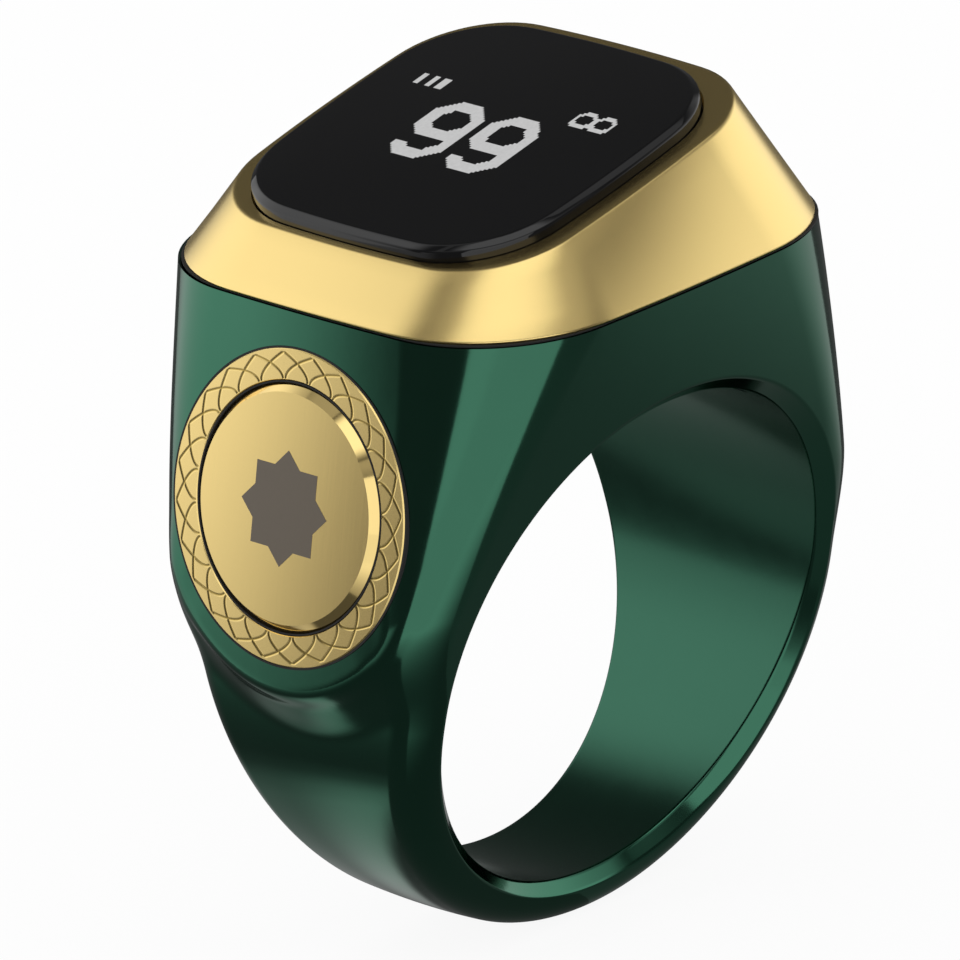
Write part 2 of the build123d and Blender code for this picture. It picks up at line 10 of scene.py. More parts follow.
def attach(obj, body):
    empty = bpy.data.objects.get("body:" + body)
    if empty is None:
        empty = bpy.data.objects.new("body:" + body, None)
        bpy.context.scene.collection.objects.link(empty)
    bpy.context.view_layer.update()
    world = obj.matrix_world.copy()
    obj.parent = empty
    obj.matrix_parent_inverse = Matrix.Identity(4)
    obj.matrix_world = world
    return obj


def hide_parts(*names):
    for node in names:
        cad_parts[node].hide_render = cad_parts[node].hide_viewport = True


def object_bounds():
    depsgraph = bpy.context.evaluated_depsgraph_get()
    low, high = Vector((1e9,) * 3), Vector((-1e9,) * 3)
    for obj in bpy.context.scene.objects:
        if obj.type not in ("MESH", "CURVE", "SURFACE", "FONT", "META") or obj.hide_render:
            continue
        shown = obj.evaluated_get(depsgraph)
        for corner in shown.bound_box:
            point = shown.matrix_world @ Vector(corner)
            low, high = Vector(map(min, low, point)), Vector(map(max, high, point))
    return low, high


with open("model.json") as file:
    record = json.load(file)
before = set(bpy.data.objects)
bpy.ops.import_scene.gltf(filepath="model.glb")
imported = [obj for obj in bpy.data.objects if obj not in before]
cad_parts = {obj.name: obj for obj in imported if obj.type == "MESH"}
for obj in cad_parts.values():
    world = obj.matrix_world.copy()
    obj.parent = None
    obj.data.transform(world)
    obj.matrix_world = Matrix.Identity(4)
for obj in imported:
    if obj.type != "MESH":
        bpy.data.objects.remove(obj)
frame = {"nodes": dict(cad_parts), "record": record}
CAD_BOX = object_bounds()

bl_info = {
    "name": "Prayer Counter Ring",
    "version": (1, 0, 0),
    "blender": (4, 5, 0),
    "location": "View3D > Sidebar > Counter Ring",
    "description": "Dresses the packed counter ring: lacquered body, gold bezel, glass and press button",
    "category": "Add Mesh",
}

MM = 0.001

# Sides of the head across the finger, as signs of X: the button sits on the near one
FAR = 1
NEAR = -1


def length(name, millimetres, description):
    """A size that a user can change, given here in millimetres."""
    return FloatProperty(
        name=name, description=description, default=millimetres * MM, unit="LENGTH", precision=5
    )


def angle(name, degrees, description):
    """An angle that a user can change, given here in degrees."""
    return FloatProperty(name=name, description=description, default=radians(degrees), unit="ROTATION")


def linear(hex_colour):
    """A hex colour as linear red, green and blue."""
    parts = [int(hex_colour[i:i + 2], 16) / 255 for i in (1, 3, 5)]
    return tuple(c / 12.92 if c <= 0.04045 else ((c + 0.055) / 1.055) ** 2.4 for c in parts)


def colour(name, hex_colour, description):
    """A colour that a user can change, given here as sRGB hex."""
    value = linear(hex_colour)
    return FloatVectorProperty(
        name=name, description=description, default=value, subtype="COLOR", size=3, min=0, max=1
    )


class BodySizes(bpy.types.PropertyGroup):
    bore: length("Bore", 10.0, "Radius of the finger bore")
    bore_chamfer: length("Bore chamfer", 0.55, "Chamfer round each end of the bore")
    near_wall: length("Button wall", 2.1, "Wall of the band on the button side")
    far_wall: length("Far wall", 1.55, "Wall of the band on the side away from the button")
    low_wall: length("Bottom wall", 1.8, "Wall of the band under the finger")
    band_half: length("Band half width", 6.0, "Half the band's width along the finger at the bore's middle")
    band_corner: length("Band corner", 1.6, "Corner radius of the band at the bore's middle")
    low_corner: length("Bottom corner", 1.2, "Corner radius of the band under the finger")
    band_bow: length("Band crown", 0.15, "How far the band's outer face swells")
    seam: length("Seam height", 14.9, "Height of the seam under the bezel")
    head_x: length("Head half length", 10.3, "Half the head's length across the finger at the seam")
    head_y: length("Head half width", 10.1, "Half the head's width along the finger at the seam")
    head_corner: length("Head corner", 5.5, "Corner radius of the head at the seam, on the button's side")
    far_corner: length("Far corner", 5.9, "Corner radius of the head at the seam, on the far side")
    corner_growth: FloatProperty(
        name="Corner growth", description="How late the corner radius grows with height", default=1.6
    )
    head_bow: length("Head bow", 0.4, "How far each side of the head swells at the seam")
    flat_low: length("Flat flank", 7.0, "Height at which the button's flank is flat along the finger")
    shoulder: length("Shoulder height", 4.6, "Height where the straight flanks end")
    near_tilt: angle("Button flank tilt", 12.6, "Lean of the flank that carries the button")
    far_tilt: angle("Far flank tilt", 8.0, "Lean of the flank away from the button")
    seam_round: length("Seam edge", 0.08, "Rounding of the edge at the seam")
    bay_wall: length("Bay wall", 1.5, "Wall round the electronics bay")
    bay_floor: length("Bay floor", 11.0, "Height of the bay's floor")
    rows: IntProperty(name="Rows", description="Steps of the mesh round the finger", default=480, min=120)

    def side_y(self, z):
        """Half width along the finger at a height."""
        return self.band_half + (self.head_y - self.band_half) * z / self.seam

    def flank_x(self, z, side):
        """Reach of a flank above the bore's middle: straight, then curving upright below the shoulder."""
        lean = tan(self.far_tilt if side == FAR else self.near_tilt)
        if z >= self.shoulder:
            return self.head_x + lean * (self.seam - z)
        reach = self.bore + (self.far_wall if side == FAR else self.near_wall)
        top = self.head_x + lean * (self.seam - self.shoulder)
        swell = top + lean * self.shoulder / 3
        t = 1 - z / self.shoulder
        return (1 - t) ** 3 * top + 3 * (1 - t) ** 2 * t * swell + (3 - 2 * t) * t * t * reach


class BezelSizes(bpy.types.PropertyGroup):
    tilt: angle("Display tilt", 12.05, "Lean of the display towards the button side")
    centre_x: length("Rim middle", -0.56, "Place of the rim's middle across the finger")
    centre_z: length("Rim height", 18.65, "Height of the rim's middle")
    rim_x: length("Rim half length", 7.9, "Half the rim's length in its own plane")
    rim_y: length("Rim half width", 8.17, "Half the rim's width along the finger")
    rim_corner: length("Rim corner", 4.15, "Corner radius of the rim")
    rim_bow: length("Rim bow", 0.4, "How far each side of the rim swells")
    rim_round: length("Rim rounding", 0.2, "Rounding of the rim's outer edge")
    seam_step: length("Seam step", 0.05, "How far the bezel stands back from the body at the seam")
    foot_round: length("Foot round", 0.45, "How much rounder the bezel's foot is than the body's corners")
    seam_chamfer: length("Seam chamfer", 0.09, "Chamfer along the bezel's lower edge")
    gasket: length("Gasket", 0.06, "Thickness of the black gasket in the seam")
    gasket_inset: length("Gasket inset", 0.12, "How far the gasket stands back from the body")
    window_x: length("Window half length", 6.3, "Half the length of the opening under the glass")
    window_y: length("Window half width", 6.5, "Half the width of the opening under the glass")
    window_corner: length("Window corner", 1.2, "Corner radius of the opening under the glass")
    ledge: length("Ledge", 1.2, "Thickness of the ledge that carries the glass")


class GlassSizes(bpy.types.PropertyGroup):
    half_x: length("Glass half length", 7.3, "Half the glass's length in its own plane")
    half_y: length("Glass half width", 7.33, "Half the glass's width along the finger")
    corner: length("Glass corner", 4.1, "Corner radius of the glass")
    bow: length("Glass bow", 0.38, "How far each side of the glass swells")
    thickness: length("Glass thickness", 1.3, "Thickness of the glass")
    slide: length("Glass slide", -0.31, "How far the glass lies down the slope from the rim's middle")
    proud: length("Glass proud", 0.62, "How far the glass stands over the rim")
    bevel: length("Glass bevel", 0.26, "Width of the ground bevel round the glass")
    gap: length("Glass gap", 0.05, "Gap between the glass and its recess")
    dot: length("Dot pitch", 0.12, "Pitch of the display's dots")


class ButtonSizes(bpy.types.PropertyGroup):
    height: length("Button height", 7.82, "Height of the button's middle on the flank")
    boss: length("Boss radius", 6.1, "Radius of the flat boss round the trim ring")
    boss_blend: length("Boss blend", 2.2, "Width over which the boss runs out into the flank")
    boss_edge: length("Boss edge", 0.9, "Width of the boss's rounded edge")
    boss_drop: length("Boss drop", 0.61, "How far the boss's middle lies under the button's")
    boss_sink: length("Boss sink", 0.03, "How far the boss lies under the flank's plane")
    pocket: length("Pocket radius", 6.02, "Radius of the pocket for the trim ring")
    pocket_depth: length("Pocket depth", 1.05, "Depth of the pocket")
    ring: length("Trim ring radius", 5.94, "Outer radius of the engraved trim ring")
    ring_inner: length("Trim ring bore", 4.74, "Inner radius of the engraved trim ring")
    ring_thickness: length("Trim ring thickness", 0.95, "Thickness of the trim ring")
    ring_proud: length("Trim ring proud", 0.05, "How far the trim ring stands over the flank's plane")
    cut: length("Engraved line", 0.07, "Width of an engraved line")
    cut_depth: length("Engraving depth", 0.02, "Depth of an engraved line")
    arches: IntProperty(name="Arches", description="Pointed arches round the trim ring", default=24, min=3)
    lattice_turn: angle("Lattice turn", 6.0, "Turn of the first arch from the top of the trim ring")
    cap: length("Cap radius", 4.66, "Radius of the press button")
    cap_thickness: length("Cap thickness", 0.95, "Thickness of the press button")
    cap_proud: length("Cap proud", 0.28, "How far the press button stands over the flank's plane")
    cap_dome: length("Cap dome", 0.02, "How far the press button's face swells")
    cap_chamfer: length("Cap chamfer", 0.32, "Polished chamfer round the press button")
    star: length("Star radius", 2.2, "Radius of the star inlay")
    star_depth: length("Star depth", 0.12, "Depth of the star inlay")


class CoverSizes(bpy.types.PropertyGroup):
    half_x: length("Cover half length", 5.6, "Half the inner cover's length across the finger")
    half_y: length("Cover half width", 6.8, "Half the inner cover's width along the finger")
    depth: length("Cover depth", 0.6, "Thickness of the inner cover's flange")
    gap: length("Cover gap", 0.06, "Gap round the inner cover")
    bevel: length("Cover edge", 0.12, "Rounding of the inner cover's edge")


class Finishes(bpy.types.PropertyGroup):
    green: colour("Green", "#3C6C57", "Reflection colour of the green lacquered metal")
    # bore: colour("Bore green", "#3A6653", "Reflection colour of the lacquer inside the bore, a little darker
    # as painted shade")
    bore: colour("Bore green", "#3A6653", "Reflection colour of the lacquer inside the bore")
    gold: colour("Gold", "#F3D78E", "Reflection colour of the gold plating")
    lines: colour("Engraved lines", "#AE9550", "Darker gold of the engraved lines")
    inlay: colour("Inlay", "#5E5549", "Dark inlay on the press button")
    glass: colour("Glass", "#0E0E0F", "Black of the cover glass")
    dots: colour("Dots", "#C3C3C3", "Lit dots of the display")
    floor: colour("Floor", "#FCFCFC", "Floor under the ring")


class RingSettings(bpy.types.PropertyGroup):
    body: PointerProperty(type=BodySizes)
    bezel: PointerProperty(type=BezelSizes)
    glass: PointerProperty(type=GlassSizes)
    button: PointerProperty(type=ButtonSizes)
    cover: PointerProperty(type=CoverSizes)
    finish: PointerProperty(type=Finishes)


def settings():
    """The sizes and finishes that a user can change."""
    return bpy.context.scene.counter_ring


# Node and material helpers
def add_node(tree, kind, inputs=None, **properties):
    """Adds a node with its properties, and sets or links its inputs by name or number."""
    node = tree.nodes.new(kind)
    for key, value in properties.items():
        setattr(node, key, value)
    for key, value in (inputs or {}).items():
        if isinstance(value, bpy.types.NodeSocket):
            tree.links.new(value, node.inputs[key])
        else:
            node.inputs[key].default_value = value
    return node


def new_material(name, **sockets):
    """An empty node material with a Principled shader, whose plain sockets are set here."""
    material = bpy.data.materials.new(name)
    material.use_nodes = True
    tree = material.node_tree
    tree.nodes.clear()
    shader = add_node(tree, "ShaderNodeBsdfPrincipled")
    for key, value in sockets.items():
        shader.inputs[key.replace("_", " ")].default_value = value
    add_node(tree, "ShaderNodeOutputMaterial", {"Surface": shader.outputs[0]})
    return material, tree, shader


def once(make):
    """The material that a function makes, made on its first use and named as the function is."""
    return bpy.data.materials.get(make.__name__) or make(make.__name__)


def rgba(rgb, share=1.0):
    """A linear colour with full alpha, made darker or lighter by a share."""
    return (*(share * part for part in rgb), 1.0)


def grained(name, rgb, grain, rough, metallic=0.0, bump=0.0, shade=0.94, stretch=(1, 1, 1)):
    """A surface with a fine grain, sized in metres, that shades the colour, the gloss and the relief."""
    material, tree, shader = new_material(name, Metallic=metallic)
    place = add_node(tree, "ShaderNodeTexCoord").outputs["Object"]
    place = add_node(tree, "ShaderNodeMapping", {"Vector": place, "Scale": stretch}).outputs[0]
    specks = {"Vector": place, "Scale": 1 / grain, "Detail": 3.0}
    noise = add_node(tree, "ShaderNodeTexNoise", specks).outputs[0]
    shades = {0: noise, 6: rgba(rgb, shade), 7: rgba(rgb, 2 - shade)}
    tint = add_node(tree, "ShaderNodeMix", shades, data_type="RGBA")
    gloss = add_node(tree, "ShaderNodeMapRange", {"Value": noise, "To Min": rough[0], "To Max": rough[1]})
    tree.links.new(tint.outputs[2], shader.inputs["Base Color"])
    tree.links.new(gloss.outputs[0], shader.inputs["Roughness"])
    if bump:
        relief = {"Height": noise, "Distance": bump * grain, "Strength": 0.5}
        tree.links.new(add_node(tree, "ShaderNodeBump", relief).outputs[0], shader.inputs["Normal"])
    return material, tree, shader


def overlay(tree, shader, share, rgb):
    """Lays a second colour over the base colour of a surface, by a share from another node."""
    base = shader.inputs["Base Color"]
    colours = {0: share, 6: base.links[0].from_socket, 7: rgba(rgb)}
    tree.links.new(add_node(tree, "ShaderNodeMix", colours, data_type="RGBA").outputs[2], base)


# Sprayed metallic lacquer on steel: a deep green mirror with the slight waviness of a sprayed coat
def green_lacquered_steel(name):
    return grained(
        name, settings().finish.green, 1.6 * MM, (0.09, 0.13), metallic=1.0, bump=0.004, shade=0.97
    )[0]


# The same lacquer inside the bore, a little duller, and a little darker green as painted shade of the bore
def wiped_green_lacquer(name):
    return grained(
        name, settings().finish.bore, 1.2 * MM, (0.17, 0.24), metallic=1.0, bump=0.006, shade=0.96
    )[0]


# Bead-blasted gold plate: a soft sheen from a grit of about 0.05 mm, drawn at 0.12 mm so that it shows
def satin_gold_plate(name):
    return grained(
        name, settings().finish.gold, 0.12 * MM, (0.24, 0.28), metallic=1.0, bump=0.004, shade=0.985
    )[0]


# Polished gold plate: a clean mirror with a trace of the buffing wheel
def polished_gold_plate(name):
    return grained(name, settings().finish.gold, 0.5 * MM, (0.06, 0.1), metallic=1.0, shade=0.98)[0]


# Gold plate with an engraved lattice: the cut lines are left a darker gold than the face
def engraved_gold_plate(name):
    finish = settings().finish
    material, tree, shader = grained(
        name, finish.gold, 0.12 * MM, (0.2, 0.25), metallic=1.0, bump=0.004, shade=0.985
    )
    cut_lines = add_node(tree, "ShaderNodeAttribute", attribute_name="engraving")
    overlay(tree, shader, cut_lines.outputs["Fac"], finish.lines)
    return material


# Brushed gold plate: upright hairlines about 0.04 mm apart, drawn at 0.08 mm, that pull the light sideways
def brushed_gold_plate(name):
    return grained(
        name, settings().finish.gold, 0.08 * MM, (0.15, 0.23),
        metallic=1.0, bump=0.006, shade=0.96, stretch=(0.05, 1, 0.03),
    )[0]


# Fired enamel let into the cap: smooth and nearly black-brown, with a fine speckle
def dark_enamel(name):
    return grained(name, settings().finish.inlay, 0.15 * MM, (0.32, 0.42), shade=0.95)[0]


# Toughened glass printed black behind: a clean mirror with faint finger smudges
def black_cover_glass(name):
    return grained(name, settings().finish.glass, 5 * MM, (0.02, 0.06), shade=0.92)[0]


# Lit dots of the panel behind the glass, which give their own light, each a little different
def lit_display_dots(name):
    lit, unlit = settings().finish.dots, rgba((0.01, 0.01, 0.01))
    material, tree, shader = new_material(
        name, Base_Color=unlit, Roughness=0.5, Specular_IOR_Level=0, Emission_Strength=1.0
    )
    place = add_node(tree, "ShaderNodeTexCoord").outputs["Object"]
    specks = {"Vector": place, "Scale": 1 / settings().glass.dot, "Detail": 0.0}
    noise = add_node(tree, "ShaderNodeTexNoise", specks).outputs[0]
    shades = {0: noise, 6: rgba(lit, 0.9), 7: rgba(lit, 1.05)}
    mix = add_node(tree, "ShaderNodeMix", shades, data_type="RGBA")
    tree.links.new(mix.outputs[2], shader.inputs["Emission Color"])
    return material


# Moulded silicone rubber: matt black with a faint moulded grain; the button's gaps also get it as painted
# shade
def black_rubber(name):
    return grained(name, linear("#0B0B0B"), 0.1 * MM, (0.55, 0.75), bump=0.05)[0]


# Moulded plastic: black with a fine spark-eroded grain
def black_plastic(name):
    return grained(name, linear("#141517"), 0.15 * MM, (0.38, 0.52), bump=0.05)[0]


# Dark panel glass with the faint dull bloom of its polariser film
def panel_glass(name):
    return grained(name, linear("#0C0E12"), 1.5 * MM, (0.06, 0.14))[0]


# Double-sided foam tape: matt black with open cells about 0.1 mm across
def black_tape(name):
    return grained(name, linear("#121212"), 0.1 * MM, (0.65, 0.8), bump=0.15)[0]


# Polyimide film over copper: amber, with darker tracks 0.3 mm apart
def amber_polyimide(name):
    material, tree, shader = grained(name, linear("#B9772B"), 0.4 * MM, (0.28, 0.38))
    place = add_node(tree, "ShaderNodeTexCoord").outputs["Object"]
    waves_per_unit = 20 / (2 * pi)
    pitch = {"Vector": place, "Scale": 1 / waves_per_unit / (0.3 * MM)}
    tracks = add_node(tree, "ShaderNodeTexWave", pitch, bands_direction="Y")
    overlay(tree, shader, tracks.outputs[1], linear("#8A4F1C"))
    return material


# Glass-cloth laminate under green solder mask: the weave shows as squares about 0.4 mm wide
def green_board_laminate(name):
    material, tree, shader = grained(name, linear("#1F5B3A"), 0.3 * MM, (0.3, 0.42), bump=0.01)
    place = add_node(tree, "ShaderNodeTexCoord").outputs["Object"]
    weave = add_node(tree, "ShaderNodeTexChecker", {"Vector": place, "Scale": 1 / (0.4 * MM)})
    share = add_node(tree, "ShaderNodeMath", {0: weave.outputs["Fac"], 1: 0.5}, operation="MULTIPLY")
    overlay(tree, shader, share.outputs[0], linear("#184A30"))
    return material


# Fired ceramic of chip parts: pale, matt and slightly speckled
def pale_ceramic(name):
    return grained(name, linear("#D8D2C0"), 0.12 * MM, (0.42, 0.55), bump=0.03, shade=0.9)[0]


# Filled epoxy of chip cases: charcoal with a moulded grain of silica
def chip_epoxy(name):
    return grained(name, linear("#1A1A1C"), 0.08 * MM, (0.48, 0.62), bump=0.08, shade=0.85)[0]


# Open-cell foam: grey, soft and pitted, with cells about 0.2 mm across
def grey_foam(name):
    return grained(name, linear("#77787A"), 0.2 * MM, (0.85, 0.95), bump=0.4, shade=0.75)[0]


# Laminated aluminium pouch: silver, with soft creases a few millimetres long
def cell_foil(name):
    return grained(
        name, linear("#C9CCD0"), 2.0 * MM, (0.22, 0.34),
        metallic=1.0, bump=0.02, shade=0.95, stretch=(1, 0.5, 1),
    )[0]


# Hard gold on the charging pads: polished, with the fine marks of use
def contact_gold(name):
    return grained(
        name, linear("#E2BE72"), 0.06 * MM, (0.16, 0.28),
        metallic=1.0, bump=0.01, shade=0.96, stretch=(1, 0.2, 1),
    )[0]


# Turned and stamped stainless steel: fine parallel marks
def stainless_steel(name):
    return grained(
        name, linear("#B8B9BA"), 0.08 * MM, (0.22, 0.34),
        metallic=1.0, bump=0.01, shade=0.95, stretch=(0.2, 1, 1),
    )[0]


# Points of half a body section: along the flank, round the corner, down the side and by the bore's edges
FLANK_STEPS = 46
CORNER_STEPS = 40
SIDE_SHARES = (0.25, 0.5, 0.75)
EDGE_POINTS = 12
HALF_POINTS = FLANK_STEPS + CORNER_STEPS + len(SIDE_SHARES) + EDGE_POINTS

# Distances of the loops that hold an edge sharp, and the strip by the bore that they share with the side
EDGE_NEAR = 0.03 * MM
EDGE_WIDE = 0.12 * MM
EDGE_BAND = 0.6 * MM

# Limits of the search for a section: its highest level, its halvings and a slack for angles at the quarters
TALLEST = 24 * MM
HALVINGS = 40
SLACK = 1e-9

# A side that is straight is drawn as an arc of at least this bow, or of this radius
LEAST_BOW = 1e-6
STRAIGHT = 20.0


# Shapes shared by the pieces
def add_object(name, bm, materials):
    """Turns a bmesh into an object of the scene, and frees it."""
    mesh = bpy.data.meshes.new(name)
    bm.to_mesh(mesh)
    bm.free()
    for material in materials:
        mesh.materials.append(material)
    item = bpy.data.objects.new(name, mesh)
    bpy.context.scene.collection.objects.link(item)
    return item


def finish_piece(name, bm, materials, rides_on, replaced, sharp=radians(32)):
    """Smooths a bmesh and turns it into a piece that rides on a body and stands for CAD nodes."""
    for face in bm.faces:
        face.smooth = True
    for edge in bm.edges:
        edge.smooth = edge.calc_face_angle(0) < sharp
    piece = add_object(name, bm, materials)
    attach(piece, rides_on)
    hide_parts(*replaced)


def fillet_centre(flank_x, flank_r, side_x, side_y, side_r, corner):
    """Middle of a corner arc that touches a flank arc and a side arc from inside."""
    dx, dy = side_x - flank_x, side_y
    gap = hypot(dx, dy)
    a, b = flank_r - corner, side_r - corner
    along = (a * a - b * b + gap * gap) / (2 * gap)
    across = sqrt(max(a * a - along * along, 0))
    ux, uy = dx / gap, dy / gap
    first = (flank_x + along * ux - across * uy, along * uy + across * ux)
    second = (flank_x + along * ux + across * uy, along * uy - across * ux)
    return max(first, second)


class Outline:
    """Half of a cushion outline over one flank: a side arc, a round corner and a flank arc."""

    def __init__(self, reach, other_reach, half_y, corner, bow_x, bow_y):
        bow_x, bow_y = max(bow_x, LEAST_BOW), max(bow_y, LEAST_BOW)
        top, right, left = half_y - bow_y, reach - bow_x, bow_x - other_reach
        self.flank_r = (top * top + bow_x * bow_x) / (2 * bow_x)
        self.flank_x = reach - self.flank_r
        half = (right - left) / 2
        self.side_r = (half * half + bow_y * bow_y) / (2 * bow_y)
        self.side_at = ((right + left) / 2, half_y - self.side_r)
        self.set_corner(corner)

    def set_corner(self, corner):
        """Fits a corner of this radius between the flank and the side."""
        self.corner = corner
        self.centre = fillet_centre(self.flank_x, self.flank_r, *self.side_at, self.side_r, corner)
        cx, cy = self.centre
        self.flank_turn = atan2(cy, cx - self.flank_x)
        self.side_turn = atan2(cy - self.side_at[1], cx - self.side_at[0])

    def flank(self, share):
        """A point on the flank, from its middle to the corner."""
        turn = share * self.flank_turn
        return self.flank_x + self.flank_r * cos(turn), self.flank_r * sin(turn)

    def round(self, share):
        """A point on the corner, from the flank to the side."""
        turn = self.flank_turn + share * (self.side_turn - self.flank_turn)
        return self.centre[0] + self.corner * cos(turn), self.centre[1] + self.corner * sin(turn)

    def side(self, x):
        """Half width of the side arc at a place along it."""
        off = x - self.side_at[0]
        return self.side_at[1] + sqrt(max(self.side_r ** 2 - off * off, 0))


def level_outline(body, z, side):
    """The head's level outline at a height, over one flank."""
    rise = z / body.seam
    bow = body.band_bow + (body.head_bow - body.band_bow) * rise
    if side == NEAR:
        bow *= span(z, body.flat_low, body.seam) + 1 - span(z, 0, body.flat_low)
    corner = body.head_corner if side == NEAR else body.far_corner
    return Outline(
        body.flank_x(z, side),
        body.flank_x(z, -side),
        body.side_y(z),
        body.band_corner + (corner - body.band_corner) * rise ** body.corner_growth,
        bow,
        body.head_bow * rise,
    )


def band_outline(body, turn):
    """The lower band's outline in the plane through the bore's axis at a turn below the middle."""
    reach = body.bore + (body.far_wall if cos(turn) > 0 else body.near_wall)
    low = body.bore + body.low_wall
    outer = 1 / hypot(cos(turn) / reach, sin(turn) / low)
    drop = outer * sin(turn)
    outline = Outline(outer, outer, body.side_y(drop), body.band_corner, body.band_bow, 0)
    slope = (body.side_y(drop) - body.band_half) / outer
    tilt = 1 / hypot(1, slope)
    outline.side_r = STRAIGHT
    crown = outer - body.band_bow
    outline.side_at = (crown + outline.side_r * slope * tilt, body.side_y(drop) - outline.side_r * tilt)
    outline.set_corner(body.band_corner + (body.low_corner - body.band_corner) * -drop / low)
    return outline


def last_place(test, low, high):
    """The last place between two limits at which a test still holds, found by halving."""
    for _ in range(HALVINGS):
        middle = (low + high) / 2
        if test(middle):
            low = middle
        else:
            high = middle
    return low


def corner_end(outline, rim, radius_of):
    """Share of the round corner that is left where the bore's chamfer cuts it, 1 where it stays whole."""
    def clear(share):
        x, y = outline.round(share)
        return outline.side(x) - y >= rim - radius_of(x)

    return 1.0 if clear(1) else last_place(clear, 0.0, 1.0)


def head_level(body, turn, side):
    """Height at which the end of the round corner lies on the ray at this turn."""
    rim = body.bore + body.bore_chamfer

    def below(z):
        outline = level_outline(body, z, side)
        share = corner_end(outline, rim, lambda x: hypot(x, z))
        return atan2(z, outline.round(share)[0]) < turn

    return last_place(below, 0.0, TALLEST)


def body_section(body, turn):
    """Points of half a body section at a turn about the bore, from the flank's middle round to the bore."""
    side = FAR if cos(turn) >= -SLACK else NEAR
    ray = (cos(turn), sin(turn))
    rim = body.bore + body.bore_chamfer
    if sin(turn) >= -SLACK:
        z = head_level(body, acos(min(1, abs(cos(turn)))), side)
        outline = level_outline(body, z, side)
        share = corner_end(outline, rim, lambda x: hypot(x, z))
        start = hypot(outline.round(share)[0], z)

        def shell_point(x, y):
            return Vector((side * x, y, z))

        def side_point(radius):
            height = min(radius * ray[1], TALLEST)
            y = level_outline(body, height, side).side(radius * abs(ray[0]))
            return Vector((radius * ray[0], y, radius * ray[1]))
    else:
        outline = band_outline(body, turn)
        share = corner_end(outline, rim, lambda x: x)
        start = outline.round(share)[0]

        def shell_point(x, y):
            return Vector((x * ray[0], y, x * ray[1]))

        def side_point(radius):
            return Vector((radius * ray[0], outline.side(radius), radius * ray[1]))
    arc = outline.corner * (outline.side_turn - outline.flank_turn)
    whole = share * arc + max(start - rim, 0)
    curve = min(share * arc, whole - EDGE_BAND)

    def outer_point(distance):
        if distance <= share * arc:
            return shell_point(*outline.round(distance / arc))
        return side_point(start - (distance - share * arc))

    points = [shell_point(*outline.flank(i / FLANK_STEPS)) for i in range(FLANK_STEPS)]
    points += [outer_point(curve * i / CORNER_STEPS) for i in range(CORNER_STEPS + 1)]
    points += [outer_point(curve + part * (whole - curve)) for part in SIDE_SHARES]
    points += [outer_point(whole - EDGE_WIDE), outer_point(whole - EDGE_NEAR)]
    outer, inner = outer_point(whole), side_point(body.bore)
    inner.y -= body.bore_chamfer
    chamfer = inner - outer
    for away in (EDGE_NEAR, EDGE_WIDE, chamfer.length - EDGE_WIDE, chamfer.length - EDGE_NEAR):
        points.append(outer + chamfer * (away / chamfer.length))
    line = min(cover_line(), inner.y - 2 * EDGE_WIDE)
    for y in (inner.y - EDGE_NEAR, inner.y - EDGE_WIDE, line, line / 2, 0.0):
        points.append(Vector((inner.x, y, inner.z)))
    return points


def cover_line():
    """Half width of the inner cover's pocket along the finger."""
    return settings().cover.half_y + settings().cover.gap


def button_frame():
    """Origin, outward normal and upward direction of the button's flank."""
    body, button = settings().body, settings().button
    normal = Vector((-cos(body.near_tilt), 0, sin(body.near_tilt)))
    up = Vector((sin(body.near_tilt), 0, cos(body.near_tilt)))
    return Vector((-body.flank_x(button.height, NEAR), 0, button.height)), normal, up


def from_button(point):
    """Where a point lies from the button's middle: along the flank's plane, and how far over it."""
    origin, normal, _ = button_frame()
    away = Vector(point) - origin
    depth = away.dot(normal)
    return away - depth * normal, depth


def smooth_step(value):
    """A smooth rise from 0 to 1."""
    t = min(max(value, 0), 1)
    return t * t * (3 - 2 * t)


def span(value, low, high):
    """How far a value lies between two limits, smoothly from 0 to 1."""
    return smooth_step((value - low) / (high - low))


def flank_depth(place):
    """Depth of the flank itself under a place in the button's plane, negative where it lies lower."""
    body = settings().body
    outline = level_outline(body, place.z, NEAR)
    y = abs(place.y)
    if y < outline.flank(1)[1]:
        reach = outline.flank_x + sqrt(outline.flank_r ** 2 - y * y)
    else:
        off = min(y - outline.centre[1], outline.corner)
        reach = outline.centre[0] + sqrt(outline.corner ** 2 - off * off)
    return (reach + place.x) * cos(body.near_tilt)


# The boss begins a little below the button's middle and is full further down, as sines of the turn
BOSS_BEGINS = 0.05
BOSS_FULL = 0.75


def boss_rise(flat, depth):
    """How far the flank rises round the button, onto the flat boss below it or the boss's run-out."""
    button = settings().button
    origin, _, up = button_frame()
    away = flat + button.boss_drop * up
    reach = max(away.length, EDGE_NEAR)
    beyond = reach - button.boss
    low = span(-away.dot(up) / reach, BOSS_BEGINS, BOSS_FULL)
    if depth < -3 * button.pocket_depth or beyond > button.boss_blend or low == 0:
        return 0.0
    target = -button.boss_sink
    if beyond > 0:
        edge = origin - button.boss_drop * up + away * (button.boss / reach)
        lift = flank_depth(edge) + button.boss_sink
        natural = depth - lift * (1 - smooth_step(beyond / button.boss_blend))
        target += (natural - target) * smooth_step(beyond / button.boss_edge)
    return low * (target - depth)


def raise_boss(point):
    """Moves a point of the flank onto the boss or its run-out."""
    flat, depth = from_button(point)
    return point + boss_rise(flat, depth) * button_frame()[1]


def new_verts(result):
    """The vertices that a bmesh operator made."""
    return [item for item in result["geom"] if isinstance(item, bmesh.types.BMVert)]


def open_edges(bm):
    """The edges round the openings of a mesh."""
    return [edge for edge in bm.edges if edge.is_boundary]


def rim_verts(edges):
    """The vertices of some edges, each once and always in the same order."""
    return list(dict.fromkeys(vert for edge in edges for vert in edge.verts))


def face_outward(bm):
    """Turns all faces of a closed mesh outward."""
    bmesh.ops.recalc_face_normals(bm, faces=bm.faces[:])
    if bm.calc_volume(signed=True) < 0:
        bmesh.ops.reverse_faces(bm, faces=bm.faces[:])


